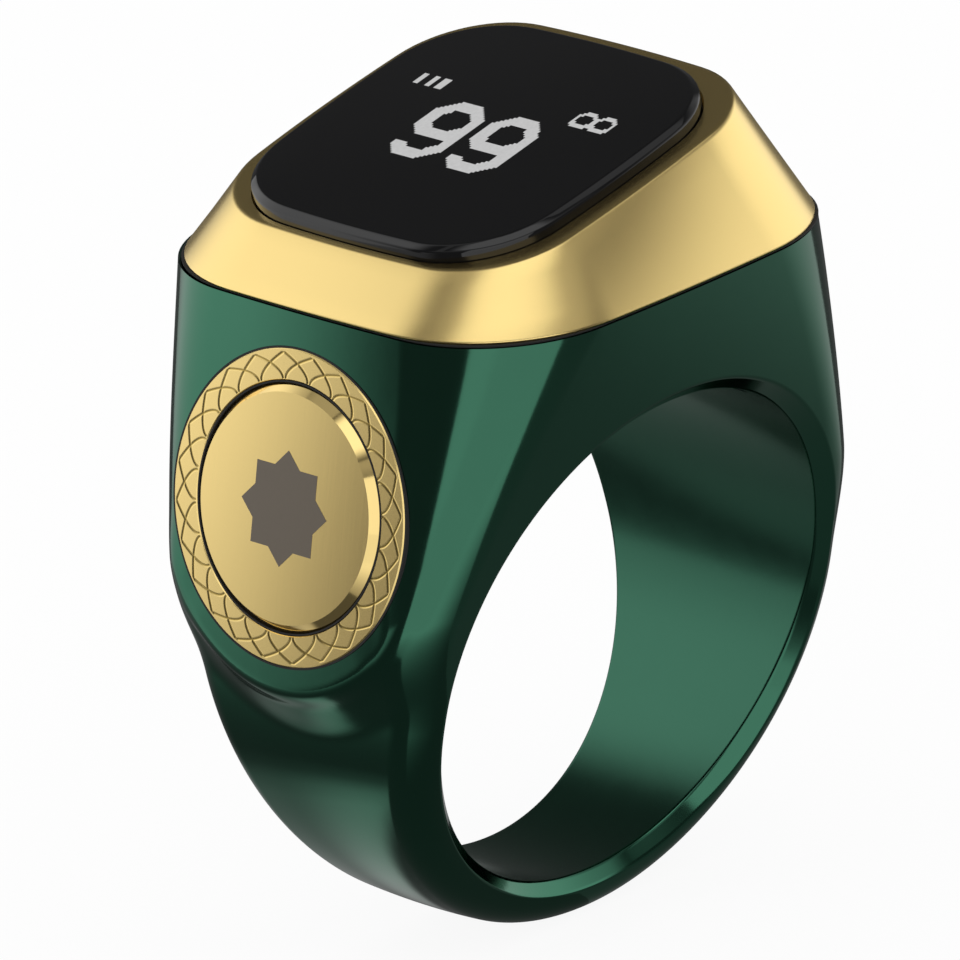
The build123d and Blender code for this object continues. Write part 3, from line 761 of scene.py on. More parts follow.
def make_body():
    """Lacquered body: a torus of rows and sections, moved to the ring's form, then cut and pocketed."""
    body, button = settings().body, settings().button
    bm = bmesh.new()
    count = 2 * (HALF_POINTS - 1)
    blank, thin = 20 * MM, 5 * MM
    ring = bmesh.ops.create_circle(bm, segments=count, radius=thin)["verts"]
    bmesh.ops.translate(bm, verts=ring, vec=(blank, 0, 0))
    section = bm.verts[:] + bm.edges[:]
    bmesh.ops.spin(
        bm, geom=section, cent=(0, 0, 0), axis=(0, -1, 0), angle=2 * pi, steps=body.rows, use_merge=True
    )
    sections = [body_section(body, 2 * pi * row / body.rows) for row in range(body.rows)]
    for vert in bm.verts:
        x, y, z = vert.co
        row = round(atan2(z, x) / (2 * pi) * body.rows) % body.rows
        place = round(atan2(y, hypot(x, z) - blank) / (2 * pi) * count)
        point = Vector(sections[row][abs(place)])
        if abs(place) <= FLANK_STEPS + CORNER_STEPS:
            point = raise_boss(point)
        vert.co = (point.x, point.y if place >= 0 else -point.y, point.z)
    face_outward(bm)
    cut_seam(bm, body)
    cut_button_pocket(bm, button)
    cut_cover_pocket(bm, body)
    face_outward(bm)
    for face in bm.faces:
        middle = face.calc_center_median()
        face.material_index = 1 if hypot(middle.x, middle.z) < body.bore + EDGE_NEAR else 0
    materials = [once(green_lacquered_steel), once(wiped_green_lacquer)]
    finish_piece("body_shell_lacquer", bm, materials, "ring", ["body_shell"])


def cut_seam(bm, body):
    """Cuts the head level at the seam, closes it and sinks the bay."""
    geometry = bm.verts[:] + bm.edges[:] + bm.faces[:]
    bmesh.ops.bisect_plane(
        bm, geom=geometry, dist=1e-7, plane_co=(0, 0, body.seam), plane_no=(0, 0, 1), clear_outer=True
    )
    rim = open_edges(bm)
    lid = bmesh.ops.contextual_create(bm, geom=rim)["faces"]
    outer, drop = rim_verts(rim), 0.6 * body.seam_round
    bmesh.ops.inset_region(bm, faces=lid, thickness=body.seam_round, depth=0, use_even_offset=True)
    bmesh.ops.translate(bm, verts=outer, vec=(0, 0, -drop))
    bmesh.ops.inset_region(bm, faces=lid, thickness=body.bay_wall, depth=0, use_even_offset=True)
    floor = bmesh.ops.extrude_face_region(bm, geom=lid)
    bmesh.ops.delete(bm, geom=lid, context="FACES")
    bmesh.ops.translate(bm, verts=new_verts(floor), vec=(0, 0, body.bay_floor - body.seam))


def cut_button_pocket(bm, button):
    """Opens the round pocket in the boss and gives it a wall and a floor."""
    origin, normal, _ = button_frame()
    skin_depth, merge = 0.5 * MM, 0.004 * MM
    opened = []
    for face in bm.faces:
        flat, depth = from_button(face.calc_center_median())
        if flat.length < button.pocket and abs(depth) < skin_depth and face.normal.dot(normal) > 0.5:
            opened.append(face)
    if not opened:
        raise RuntimeError("the button's pocket found no faces to open")
    bmesh.ops.delete(bm, geom=opened, context="FACES")
    rim = rim_verts(open_edges(bm))
    for vert in rim:
        flat = from_button(vert.co)[0]
        flat *= button.pocket / flat.length
        depth = flank_depth(origin + flat)
        vert.co = origin + flat + (depth + boss_rise(flat, depth)) * normal
    bmesh.ops.remove_doubles(bm, verts=rim, dist=merge)
    wall = bmesh.ops.extrude_edge_only(bm, edges=open_edges(bm))
    for vert in new_verts(wall):
        vert.co -= ((vert.co - origin).dot(normal) + button.pocket_depth) * normal
    bmesh.ops.contextual_create(bm, geom=open_edges(bm))


def cut_cover_pocket(bm, body):
    """Sinks the bore's top for the inner cover."""
    cover = settings().cover
    line = cover_line()
    top, near = [], 0.01 * MM
    for face in bm.faces:
        middle = face.calc_center_median()
        on_bore = abs(hypot(middle.x, middle.z) - body.bore) < near
        if on_bore and middle.z > 0 and abs(middle.x) < cover.half_x + cover.gap and abs(middle.y) < line:
            top.append(face)
    grown = bmesh.ops.extrude_face_region(bm, geom=top)
    bmesh.ops.delete(bm, geom=top, context="FACES")
    for vert in new_verts(grown):
        share = (body.bore + cover.depth) / hypot(vert.co.x, vert.co.z)
        vert.co.x *= share
        vert.co.z *= share


# Loops and skins for the bezel, the glass and the button: points along a side, a corner and a circle
FLANK_LOOP = 12
CORNER_LOOP = 16
CIRCLE_STEPS = 192


def loop(half_x, half_y, corner, bow):
    """Points round a cushion outline, from the middle of its +X side, as (x, y)."""
    outline = Outline(half_x, half_x, half_y, corner, bow, bow)
    quarter = [outline.flank(i / FLANK_LOOP) for i in range(FLANK_LOOP)]
    quarter += [outline.round(i / CORNER_LOOP) for i in range(CORNER_LOOP)]
    end = outline.round(1)[0]
    along = [end * (1 - i / FLANK_LOOP) for i in range(FLANK_LOOP)]
    quarter += [(x, outline.side(x)) for x in along]
    half = quarter + [(-x, y) for x, y in reversed([*quarter[1:], (0, half_y)])]
    return half + [(-x, -y) for x, y in half]


def level(points, height):
    """Loop points at a height over the origin."""
    return [Vector((x, y, height)) for x, y in points]


def on_display(points, height, slide=0.0):
    """Loop points in the display's plane, raised over the rim and slid along its slope."""
    bezel = settings().bezel
    along = Vector((cos(bezel.tilt), 0, sin(bezel.tilt)))
    normal = Vector((-sin(bezel.tilt), 0, cos(bezel.tilt)))
    origin = Vector((bezel.centre_x, 0, bezel.centre_z)) + height * normal
    return [origin + (x + slide) * along + Vector((0, y, 0)) for x, y in points]


def between(first, second, share):
    """Loop points part of the way from one loop to another."""
    return [a.lerp(b, share) for a, b in zip(first, second)]


def rounded(first, middle, last, steps=4):
    """Loops that round off the edge at the middle loop."""
    loops = []
    for i in range(steps + 1):
        t = i / steps
        loops.append(between(between(first, middle, t), between(middle, last, t), t))
    return loops


def skin(loops, closed=False):
    """A skin of quads through loops with equal numbers of points, as a new bmesh."""
    bm = bmesh.new()
    around, across = len(loops[0]), len(loops) if closed else len(loops) - 1
    bmesh.ops.create_grid(bm, x_segments=around, y_segments=across, size=0.5)
    for vert in bm.verts:
        i = round((vert.co.x + 0.5) * around)
        j = round((vert.co.y + 0.5) * across)
        vert.co = loops[j % len(loops)][i % around]
    bmesh.ops.remove_doubles(bm, verts=bm.verts, dist=1e-8)
    bmesh.ops.recalc_face_normals(bm, faces=bm.faces)
    return bm


def close(bm):
    """Fills every open loop of a skin."""
    bmesh.ops.edgeloop_fill(bm, edges=open_edges(bm))
    bmesh.ops.recalc_face_normals(bm, faces=bm.faces)


def make_bezel():
    """Gold bezel: foot, leaning flank, rounded rim, glass recess and opening."""
    body, bezel, glass = settings().body, settings().bezel, settings().glass
    half_x, half_y = body.head_x - bezel.seam_step, body.head_y - bezel.seam_step
    base = body.seam + bezel.gasket
    inset, corner = bezel.seam_chamfer / 2, body.head_corner + bezel.foot_round
    foot = level(loop(half_x - inset, half_y - inset, corner - inset, body.head_bow), base)
    full = level(loop(half_x, half_y, corner, body.head_bow), base + bezel.seam_chamfer)
    rim = on_display(loop(bezel.rim_x, bezel.rim_y, bezel.rim_corner, bezel.rim_bow), 0)
    edge = bezel.rim_round
    under_rim = between(full, rim, 1 - edge / (rim[0] - full[0]).length)
    land = on_display(loop(bezel.rim_x - edge, bezel.rim_y - edge, bezel.rim_corner - edge, bezel.rim_bow), 0)
    recess = loop(glass.half_x + glass.gap, glass.half_y + glass.gap, glass.corner, glass.bow)
    window = loop(bezel.window_x, bezel.window_y, bezel.window_corner, EDGE_NEAR)
    wall = body.bay_wall
    well = loop(half_x - 3 * wall, half_y - 3 * wall, body.head_corner - wall, body.head_bow)
    loops = [foot]
    loops += rounded(between(foot, full, 0.7), full, between(full, rim, 0.02), 3)
    loops += [between(full, rim, part) for part in (0.25, 0.5, 0.75)]
    loops += rounded(under_rim, rim, land, 6)
    shelf = glass.proud - glass.thickness
    for points, height in ((recess, 0), (recess, shelf), (window, shelf), (window, shelf - bezel.ledge)):
        loops.append(on_display(points, height, glass.slide))
    loops.append(level(well, base))
    bm = skin(loops, closed=True)
    finish_piece("bezel_gold", bm, [once(satin_gold_plate)], "ring", ["bezel"])


def make_gasket():
    """Black gasket line in the seam."""
    body, bezel = settings().body, settings().bezel
    corner = body.head_corner - bezel.gasket_inset
    wide = loop(body.head_x - bezel.gasket_inset, body.head_y - bezel.gasket_inset, corner, body.head_bow)
    narrow_by = bezel.gasket_inset + body.bay_wall
    narrow = loop(body.head_x - narrow_by, body.head_y - narrow_by, corner - body.bay_wall, body.head_bow)
    low, high = body.seam, body.seam + bezel.gasket
    bm = skin([level(wide, low), level(wide, high), level(narrow, high), level(narrow, low)], closed=True)
    finish_piece("seam_gasket", bm, [once(black_rubber)], "ring", ["bezel_gasket"])


def make_glass():
    """Cover glass with a ground bevel."""
    glass = settings().glass

    def ring(inset, height):
        points = loop(glass.half_x - inset, glass.half_y - inset, glass.corner - inset, glass.bow)
        return on_display(points, height, glass.slide)

    edge, slope = 0.06 * MM, 0.8
    low, high = glass.proud - glass.bevel * slope, glass.proud
    wide, narrow = ring(0, low), ring(glass.bevel, high)
    part = edge / glass.bevel
    loops = [ring(0, glass.proud - glass.thickness)]
    loops += rounded(ring(0, low - edge), wide, between(wide, narrow, part), 3)
    loops += rounded(between(wide, narrow, 1 - part), narrow, ring(glass.bevel + edge, high), 3)
    bm = skin(loops)
    close(bm)
    materials = [once(black_cover_glass)]
    finish_piece("cover_glass", bm, materials, "ring", ["display_glass"], radians(50))


# Display marks, as outlines in millimetres: x along the line of digits, y up the display
NINE = (
    (0.77, 3.95), (1.73, 3.95), (2.54, 3.11), (2.54, 0.79), (1.71, 0.0), (0.69, 0.0), (0.12, 0.59),
    (0.12, 0.86), (0.67, 0.86), (0.97, 0.54), (1.5, 0.54), (1.98, 1.05), (1.98, 1.45), (0.55, 1.45),
    (0.0, 1.97), (0.0, 3.13),
)
NINE_HOLE = (
    (0.93, 3.35), (1.6, 3.35), (2.0, 2.92), (2.0, 2.4), (1.58, 2.02), (0.87, 2.02), (0.61, 2.3), (0.61, 2.98),
)
LOOP_OUT = (
    (0.3, 1.1), (0.75, 1.1), (1.05, 0.8), (1.05, 0.3), (0.75, 0.0), (0.3, 0.0), (0.0, 0.3), (0.0, 0.8),
)
LOOP_HOLE = (
    (0.38, 0.87), (0.7, 0.87), (0.86, 0.7), (0.86, 0.4), (0.7, 0.23), (0.38, 0.23), (0.2, 0.4), (0.2, 0.7),
)
BAR = ((0.0, 0.0), (0.33, 0.0), (0.33, 0.73), (0.0, 0.73))

# Marks on the display: left and low edge, outline, and the hole in it
MARKS = (
    (-2.75, -2.64, NINE, NINE_HOLE),
    (0.1, -2.64, NINE, NINE_HOLE),
    (-5.08, 1.63, BAR, ()),
    (-4.47, 1.63, BAR, ()),
    (-3.91, 1.63, BAR, ()),
    (2.95, 1.51, LOOP_OUT, LOOP_HOLE),
    (3.9, 1.51, LOOP_OUT, LOOP_HOLE),
)


def inside(x, y, outline):
    """Whether a place lies inside an outline."""
    crossings = 0
    for (x0, y0), (x1, y1) in zip(outline, outline[1:] + outline[:1]):
        if (y0 > y) != (y1 > y) and x < x0 + (y - y0) * (x1 - x0) / (y1 - y0):
            crossings += 1
    return crossings % 2 == 1


def make_marks():
    """Lit dots of the display: one sheet of square dots, with the unlit ones taken away."""
    glass = settings().glass
    sheet, film = 12 * MM, 0.004 * MM
    cells = round(sheet / glass.dot)
    bm = bmesh.new()
    bmesh.ops.create_grid(bm, x_segments=cells, y_segments=cells, size=cells * glass.dot / 2)

    def lit(face):
        x, y = (value / MM for value in face.calc_center_median()[:2])
        for left, low, outline, hole in MARKS:
            if inside(x - left, y - low, outline) and not (hole and inside(x - left, y - low, hole)):
                return True
        return False

    bmesh.ops.delete(bm, geom=[face for face in bm.faces if not lit(face)], context="FACES")
    for vert in bm.verts:
        vert.co = on_display([(vert.co.y, -vert.co.x)], glass.proud + film)[0]
    bmesh.ops.recalc_face_normals(bm, faces=bm.faces)
    finish_piece("display_dots", bm, [once(lit_display_dots)], "ring", [])


def on_button(points, height):
    """Places in the button's plane, as (right, up), raised over the flank's plane."""
    origin, normal, up = button_frame()
    right = Vector((0, -1, 0))
    return [origin + height * normal + x * right + y * up for x, y in points]


def circle(radius, height, count=CIRCLE_STEPS):
    """Points round the button's middle, raised over the flank's plane."""
    turns = [2 * pi * i / count for i in range(count)]
    return on_button([(radius * sin(turn), radius * cos(turn)) for turn in turns], height)


# An arch's margin at its tip and its foot, and its lean at the tip and half width at the foot in arch pitches
TIP_MARGIN = 0.13 * MM
FOOT_MARGIN = 0.06 * MM
ARCH_LEAN = 1.2
ARCH_WIDTH = 0.95


def engraving(radius, turn):
    """How deep the arch lattice is cut at a place on the trim ring, from 0 to 1."""
    button = settings().button
    tip, foot = button.ring - TIP_MARGIN, button.ring_inner + FOOT_MARGIN
    fall = (tip - radius) / (tip - foot)
    if fall < 0 or fall > 1:
        return 0.0
    pitch = 2 * pi / button.arches
    lean, width = ARCH_LEAN * pitch, ARCH_WIDTH * pitch
    spread = lean * fall * (1 - fall) ** 2 + width * fall * fall * (3 - 2 * fall)
    steep = (lean * (1 - fall) * (1 - 3 * fall) + 6 * width * fall * (1 - fall)) / (tip - foot) * radius
    places = [(turn - button.lattice_turn + way * spread) % pitch for way in (-1, 1)]
    nearest = min(min(off, pitch - off) * radius / hypot(1, steep) for off in places)
    return 1 - smooth_step((nearest - 0.25 * button.cut) / (0.5 * button.cut))


def make_trim_ring():
    """Gold trim ring round the button with its engraved lattice."""
    button = settings().button
    count, steps = 1200, 44
    edge = 0.05 * MM
    inner, outer = button.ring_inner + edge, button.ring - edge
    back = button.ring_proud - button.ring_thickness
    radii = [outer + (inner - outer) * i / steps for i in range(steps + 1)]
    loops = [circle(button.ring, back, count), circle(button.ring, button.ring_proud - edge, count)]
    loops += [circle(radius, button.ring_proud, count) for radius in radii]
    loops.append(circle(button.ring_inner, button.ring_proud - edge, count))
    loops.append(circle(button.ring_inner, back, count))
    bm = skin(loops, closed=True)
    _, normal, up = button_frame()
    layer = bm.verts.layers.float.new("engraving")
    for vert in bm.verts:
        flat, height = from_button(vert.co)
        if height > button.ring_proud - edge / 2:
            cut = engraving(flat.length, atan2(-flat.y, flat.dot(up)))
            vert[layer] = cut
            vert.co -= cut * button.cut_depth * normal
    materials = [once(engraved_gold_plate)]
    finish_piece("trim_ring", bm, materials, "ring", ["button_ring"], radians(40))


def make_liners():
    """Black sheets of painted shade in the trim ring's bore and round it, where the gaps lie in shade, each a
    little lower than its face.
    """
    button = settings().button
    cap_play, pocket_play = 0.012 * MM, 0.005 * MM
    # Painted shade: black sheets in the gap round the press button and in the gap round the trim ring
    gap_shades = (
        ("cap_gap_shade", button.cap + cap_play, button.ring_inner, 0.02 * MM),
        ("trim_gap_shade", button.ring, button.pocket - pocket_play, 0.04 * MM),
    )
    back = button.ring_proud - button.ring_thickness
    for name, inner, outer, sink in gap_shades:
        top = button.ring_proud - sink
        corners = ((outer, back), (outer, top), (inner, top), (inner, back))
        bm = skin([circle(radius, height) for radius, height in corners], closed=True)
        finish_piece(name, bm, [once(black_rubber)], "ring", [])


def make_cap():
    """Press button: a slightly domed brushed face inside a polished chamfer."""
    button = settings().button
    face, edge, steps = button.cap - button.cap_chamfer, 0.03 * MM, 8
    top, back = button.cap_proud - button.cap_dome, button.cap_proud - button.cap_thickness
    loops = [circle(button.cap, back), circle(button.cap, top - button.cap_chamfer), circle(face, top)]
    radii = [(face - edge) * part / steps for part in range(steps, 0, -1)]
    loops += [circle(radius, button.cap_proud - button.cap_dome * (radius / face) ** 2) for radius in radii]
    bm = skin(loops)
    close(bm)
    for item in bm.faces:
        height = from_button(item.calc_center_median())[1]
        item.material_index = 0 if height > top - edge / 2 else 1
    materials = [once(brushed_gold_plate), once(polished_gold_plate)]
    finish_piece("press_cap", bm, materials, "button", ["button_cap"])


def make_star():
    """Dark eight-pointed star let into the press button."""
    button = settings().button
    points, film = 8, 0.006 * MM
    bm = bmesh.new()
    verts = bmesh.ops.create_circle(bm, segments=2 * points, radius=button.star, cap_ends=True)["verts"]
    notch = cos(2 * pi / points) / cos(pi / points)
    for vert in verts:
        turn = round(atan2(vert.co.y, vert.co.x) / (pi / points))
        share = 1 if turn % 2 == 0 else notch
        spot = (share * vert.co.x, share * vert.co.y)
        vert.co = on_button([spot], button.cap_proud + film)[0]
    normal = button_frame()[1]
    sunk = bmesh.ops.extrude_face_region(bm, geom=bm.faces[:])
    bmesh.ops.translate(bm, verts=new_verts(sunk), vec=-button.star_depth * normal)
    bmesh.ops.recalc_face_normals(bm, faces=bm.faces)
    finish_piece("star_inlay", bm, [once(dark_enamel)], "button", ["button_emblem"])


def make_cover():
    """Black inner cover, curved with the bore."""
    body, cover = settings().body, settings().cover
    steps, sharp, near = 32, 1.0, 0.001 * MM
    bm = bmesh.new()
    bmesh.ops.create_grid(bm, x_segments=steps, y_segments=2, size=1)
    for vert in bm.verts:
        x = vert.co.x * (cover.half_x - cover.gap)
        vert.co = (x, vert.co.y * (cover.half_y - cover.gap), sqrt(body.bore ** 2 - x * x))
    thick = bmesh.ops.extrude_face_region(bm, geom=bm.faces[:])
    for vert in new_verts(thick):
        vert.co.z += cover.depth
    bmesh.ops.recalc_face_normals(bm, faces=bm.faces)
    edges = [edge for edge in bm.edges if edge.calc_face_angle(0) > sharp]
    rim = [edge for edge in edges if abs(edge.verts[0].co.xz.length - body.bore) < near]
    bmesh.ops.bevel(bm, geom=rim, offset=cover.bevel, segments=3, profile=0.5, affect="EDGES", material=-1)
    finish_piece("bore_cover", bm, [once(black_plastic)], "ring", ["inner_cover"])


def dress_solids():
    """Gives every CAD node that stays in view a material by its slot."""
    finishes = {
        "panel_glass": panel_glass,
        "black_tape": black_tape,
        "amber_flex": amber_polyimide,
        "board_laminate": green_board_laminate,
        "pale_laminate": pale_ceramic,
        "chip_epoxy": chip_epoxy,
        "grey_foam": grey_foam,
        "cell_foil": cell_foil,
        "contact_gold": contact_gold,
        "steel": stainless_steel,
        "black_plastic": black_plastic,
        "black_rubber": black_rubber,
        "satin_gold": satin_gold_plate,
        "engraved_gold": satin_gold_plate,
        "green_lacquer": green_lacquered_steel,
        "black_glass": black_cover_glass,
        "dark_inlay": dark_enamel,
    }
    slots = {part["node"]: part["material_slot"] for part in frame["record"]["subparts"]}
    for name, node in frame["nodes"].items():
        if node.type == "MESH":
            for slot in node.material_slots:
                slot.material = once(finishes[slots[name]])


class RING_OT_body(bpy.types.Operator):
    """Builds the green lacquered body"""

    bl_idname = "counter_ring.body"
    bl_label = "Body"

    def execute(self, context):
        make_body()
        return {"FINISHED"}


class RING_OT_bezel(bpy.types.Operator):
    """Builds the gold bezel and the gasket under it"""

    bl_idname = "counter_ring.bezel"
    bl_label = "Bezel"

    def execute(self, context):
        make_bezel()
        make_gasket()
        return {"FINISHED"}


class RING_OT_display(bpy.types.Operator):
    """Builds the cover glass and the lit dots"""

    bl_idname = "counter_ring.display"
    bl_label = "Display"

    def execute(self, context):
        make_glass()
        make_marks()
        return {"FINISHED"}


class RING_OT_button(bpy.types.Operator):
    """Builds the trim ring, the painted shade in its gaps, the press button and its star"""

    bl_idname = "counter_ring.button"
    bl_label = "Button"

    def execute(self, context):
        make_trim_ring()
        make_liners()
        make_cap()
        make_star()
        return {"FINISHED"}


class RING_OT_cover(bpy.types.Operator):
    """Builds the inner cover and dresses the solids that stay in view"""

    bl_idname = "counter_ring.cover"
    bl_label = "Cover and inner parts"

    def execute(self, context):
        make_cover()
        dress_solids()
        return {"FINISHED"}


# Camera: its place about the ring in degrees, its distance and lens, and its aim in the picture's plane
CAMERA_AZIMUTH = -44.502
CAMERA_ELEVATION = 21.215
CAMERA_ROLL = -4.049
CAMERA_DISTANCE = 551.1 * MM
CAMERA_LENS = 549.8
AIM_RIGHT = -1.72 * MM
AIM_UP = 4.70 * MM


def make_camera():
    """Sets the camera at the photograph's viewing angle."""
    data = bpy.data.cameras.new("camera")
    camera = bpy.data.objects.new("camera", data)
    bpy.context.scene.collection.objects.link(camera)
    azimuth, elevation, roll = (radians(turn) for turn in (CAMERA_AZIMUTH, CAMERA_ELEVATION, CAMERA_ROLL))
    back = Vector((sin(azimuth) * cos(elevation), -cos(azimuth) * cos(elevation), sin(elevation)))
    level_right = Vector((cos(azimuth), sin(azimuth), 0))
    level_up = back.cross(level_right)
    right = cos(roll) * level_right + sin(roll) * level_up
    up = cos(roll) * level_up - sin(roll) * level_right
    aim = AIM_RIGHT * right + AIM_UP * up
    rotation = Matrix((right, up, back)).transposed().to_4x4()
    camera.matrix_world = Matrix.Translation(aim + CAMERA_DISTANCE * back) @ rotation
    data.sensor_width = 36.0
    data.lens = CAMERA_LENS
    data.clip_start = 0.01
    data.clip_end = 100.0
    bpy.context.scene.camera = camera


# Studio: the camera's side, the brightness of dark and bright cards, and the middle of curved cards
CAMERA_TURN = radians(CAMERA_AZIMUTH - 90)
DARK = 0.085
BRIGHT = 1.25
STUDIO_MIDDLE = Vector((0, 0, 5 * MM))
CARD_CELLS = 72
CARD_LIFT = 0.1 * MM

# Left panel: its turn from the camera's side, its distance from the button, and its reach in millimetres
LEFT_TURN = radians(88)
LEFT_DISTANCE = 45 * MM
LEFT_ACROSS = (-16, 110)
LEFT_TALL = 110


# Painted cards and softboxes of the studio: each vertex says how bright it is
def studio_card(name):
    material = bpy.data.materials.new(name)
    material.use_nodes = True
    material.cycles.emission_sampling = "NONE"
    tree = material.node_tree
    tree.nodes.clear()
    glow = add_node(tree, "ShaderNodeAttribute", attribute_name="glow")
    light = add_node(tree, "ShaderNodeEmission", {"Strength": glow.outputs["Fac"]})
    add_node(tree, "ShaderNodeOutputMaterial", {"Surface": light.outputs[0]})
    return material


def set_card(name, shape, glow):
    """Adds a card that only reflections see: shape places a grid point, glow says how bright it is there."""
    bm = bmesh.new()
    bmesh.ops.create_grid(bm, x_segments=CARD_CELLS, y_segments=CARD_CELLS, size=0.5)
    layer = bm.verts.layers.float.new("glow")
    for vert in bm.verts:
        u, v = vert.co.x + 0.5, vert.co.y + 0.5
        vert.co = shape(u, v)
        vert[layer] = glow(u, v)
    card = add_object(name, bm, [once(studio_card)])
    card.visible_camera = False
    card.visible_diffuse = False
    card.visible_shadow = False
    card.visible_transmission = False


def part_way(limits, share):
    """The place between two limits at a share of the way."""
    return limits[0] + share * (limits[1] - limits[0])


def round_card(name, turns, rises, radius, glow):
    """A card curved about the ring: turns and rises are degrees from the camera's side and from the level."""
    def shape(u, v):
        turn, rise = CAMERA_TURN + radians(part_way(turns, u)), radians(part_way(rises, v))
        return STUDIO_MIDDLE + radius * Vector((cos(turn) * cos(rise), sin(turn) * cos(rise), sin(rise)))

    def shine(u, v):
        return DARK + (BRIGHT - DARK) * glow(part_way(turns, u), part_way(rises, v))

    set_card(name, shape, shine)


def floor_card(name, turns, reach, glow):
    """A card on the floor between two turns in degrees and two distances in millimetres."""
    def shape(u, v):
        turn, away = CAMERA_TURN + radians(part_way(turns, u)), MM * part_way(reach, v * v)
        return Vector((away * cos(turn), away * sin(turn), CAD_BOX[0].z + CARD_LIFT))

    set_card(name, shape, lambda u, v: glow(part_way(turns, u), part_way(reach, v * v)))


def left_card(name, glow):
    """An upright panel near the button; glow takes the place across it and the height in millimetres."""
    toward = Vector((cos(CAMERA_TURN - LEFT_TURN), sin(CAMERA_TURN - LEFT_TURN), 0))
    along = Vector((toward.y, -toward.x, 0))
    middle = button_frame()[0]

    def spot(u, v):
        return part_way(LEFT_ACROSS, u), CAD_BOX[0].z / MM + LEFT_TALL * v

    def shape(u, v):
        across, height = spot(u, v)
        place = middle + LEFT_DISTANCE * toward + across * MM * along
        return Vector((place.x, place.y, height * MM))

    set_card(name, shape, lambda u, v: glow(*spot(u, v)))


def tent_glow(turn, rise):
    """Dark walls, with a pale ceiling over the front that is brighter to the right."""
    return (0.26 + 0.14 * span(turn, 40, 60)) * span(rise, 28, 42) * (1 - span(abs(turn), 110, 130))


def floor_left_glow(turn, away):
    """A pale patch by the foot of the band, and a half bright floor far behind it."""
    patch = span(away, 3, 9) * (1 - span(away, 16, 21)) * (0.22 + 0.4 * span(turn, -82, -63))
    far = 0.5 * span(away, 18, 80) * (1 - span(turn, -70, -45))
    return DARK + patch * (1 - span(turn, -60.5, -55)) + far


def floor_right_glow(turn, away):
    """A dark floor that grows pale far off, behind the right side."""
    return DARK + 0.06 + 0.5 * span(away, 26, 60) * span(turn, 70, 90)


def left_glow(across, height):
    """A soft right edge, and dimmer towards the floor and the top."""
    low = 0.66 + 0.34 * span(height, -14, 14)
    high = 1 - 0.65 * span(height, 52, 98)
    side = span(across, -9, 7.5) * (1 - 0.5 * span(across, 50, 95))
    return DARK + 1.12 * low * high * side


def top_glow(turn, rise):
    """A soft edge all round."""
    return (
        1.04 * span(turn, -62, -40) * (1 - span(turn, 58, 86)) * span(rise, 45, 54) * (1 - span(rise, 78, 86))
    )


def right_glow(turn, rise):
    """A soft edge at both sides, fading upward."""
    sides = span(turn, 76, 88) * (1 - span(turn, 140, 150))
    return sides * (1 - 0.7 * span(rise, 14, 38)) * (1 - span(rise, 38, 50))


def make_light():
    """Dark cards and soft panels that the metal and the glass reflect."""
    round_card("card_tent", (-180, 180), (-3.5, 90), 300 * MM, tent_glow)
    floor_card("floor_front", (-24, 42), (1, 54), lambda turn, away: DARK + 0.95 * span(away, 18, 50))
    floor_card("floor_left", (-135, -24), (1, 300), floor_left_glow)
    floor_card("floor_right", (42, 135), (1, 300), floor_right_glow)
    floor_card("floor_back", (135, 225), (1, 300), lambda turn, away: DARK + 0.18 * (1 - span(away, 20, 40)))
    left_card("panel_left", left_glow)
    round_card("panel_front", (-24, 42), (-3.4, 34), 280 * MM, lambda turn, rise: 0.88)
    round_card("panel_top", (-62, 86), (45, 86), 280 * MM, top_glow)
    round_card("panel_right", (76, 150), (-4.5, 50), 220 * MM, right_glow)


def seen_directly(tree):
    """1 for rays from the camera, from mirrors and through glass, and 0 for the light on the object."""
    path = add_node(tree, "ShaderNodeLightPath").outputs
    seen = path["Is Camera Ray"]
    for ray in ("Is Glossy Ray", "Is Transmission Ray"):
        seen = add_node(tree, "ShaderNodeMath", {0: seen, 1: path[ray]}, operation="MAXIMUM").outputs[0]
    return seen


def make_world():
    """A white world, also for reflections, which lights the ring at a plain level."""
    world = bpy.data.worlds.new("studio")
    bpy.context.scene.world = world
    world.use_nodes = True
    tree = world.node_tree
    tree.nodes.clear()
    strength = {"Value": seen_directly(tree), "To Min": 0.95, "To Max": 1.0}
    strength = add_node(tree, "ShaderNodeMapRange", strength).outputs[0]
    light = add_node(tree, "ShaderNodeBackground", {"Color": (1, 1, 1, 1), "Strength": strength})
    add_node(tree, "ShaderNodeOutputWorld", {"Surface": light.outputs[0]})


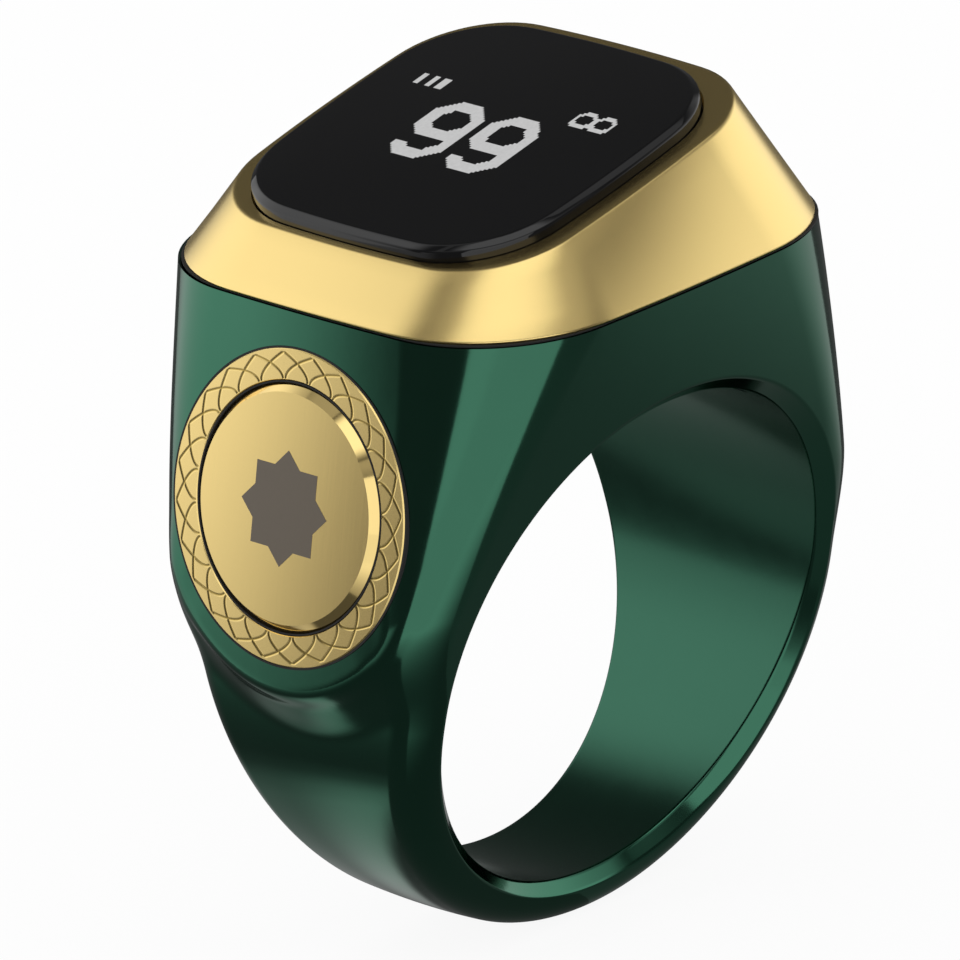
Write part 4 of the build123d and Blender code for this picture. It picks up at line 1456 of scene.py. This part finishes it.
# Seamless white paper: matt, and bright enough behind the object to read as pure white
def floor_paper(name):
    material, tree, shader = grained(name, settings().finish.floor, 0.5 * MM, (0.85, 0.95), shade=0.995)
    share = add_node(tree, "ShaderNodeMath", {0: seen_directly(tree), 1: 0.92}, operation="MULTIPLY")
    white = add_node(tree, "ShaderNodeEmission", {"Color": (1, 1, 1, 1), "Strength": 1.0})
    shaders = {0: share.outputs[0], 1: shader.outputs[0], 2: white.outputs[0]}
    mix = add_node(tree, "ShaderNodeMixShader", shaders)
    tree.links.new(mix.outputs[0], tree.get_output_node("ALL").inputs["Surface"])
    return material


def make_floor():
    """A sheet of paper under the ring."""
    bm = bmesh.new()
    bmesh.ops.create_grid(bm, x_segments=1, y_segments=1, size=2.0)
    bmesh.ops.translate(bm, verts=bm.verts, vec=(0, 0, CAD_BOX[0].z))
    add_object("floor", bm, [once(floor_paper)])


class RING_OT_stage(bpy.types.Operator):
    """Sets the floor, the light and the camera"""

    bl_idname = "counter_ring.stage"
    bl_label = "Stage"

    def execute(self, context):
        context.scene.view_settings.view_transform = "Standard"
        make_camera()
        make_floor()
        make_light()
        make_world()
        return {"FINISHED"}


class RING_PT_panel(bpy.types.Panel):
    bl_label = "Counter Ring"
    bl_idname = "RING_PT_panel"
    bl_space_type = "VIEW_3D"
    bl_region_type = "UI"
    bl_category = "Counter Ring"

    def draw(self, context):
        """Lists the operators."""
        for operator in OPERATORS:
            self.layout.operator(operator.bl_idname)


OPERATORS = (RING_OT_body, RING_OT_bezel, RING_OT_display, RING_OT_button, RING_OT_cover, RING_OT_stage)
GROUPS = (BodySizes, BezelSizes, GlassSizes, ButtonSizes, CoverSizes, Finishes, RingSettings)


def register():
    for item in GROUPS + OPERATORS + (RING_PT_panel,):
        bpy.utils.register_class(item)
    bpy.types.Scene.counter_ring = PointerProperty(type=RingSettings)


def unregister():
    del bpy.types.Scene.counter_ring
    for item in reversed(GROUPS + OPERATORS + (RING_PT_panel,)):
        bpy.utils.unregister_class(item)


def main():
    register()
    for operator in OPERATORS:
        group, name = operator.bl_idname.split(".")
        getattr(getattr(bpy.ops, group), name)()


if __name__ == "__main__":
    main()
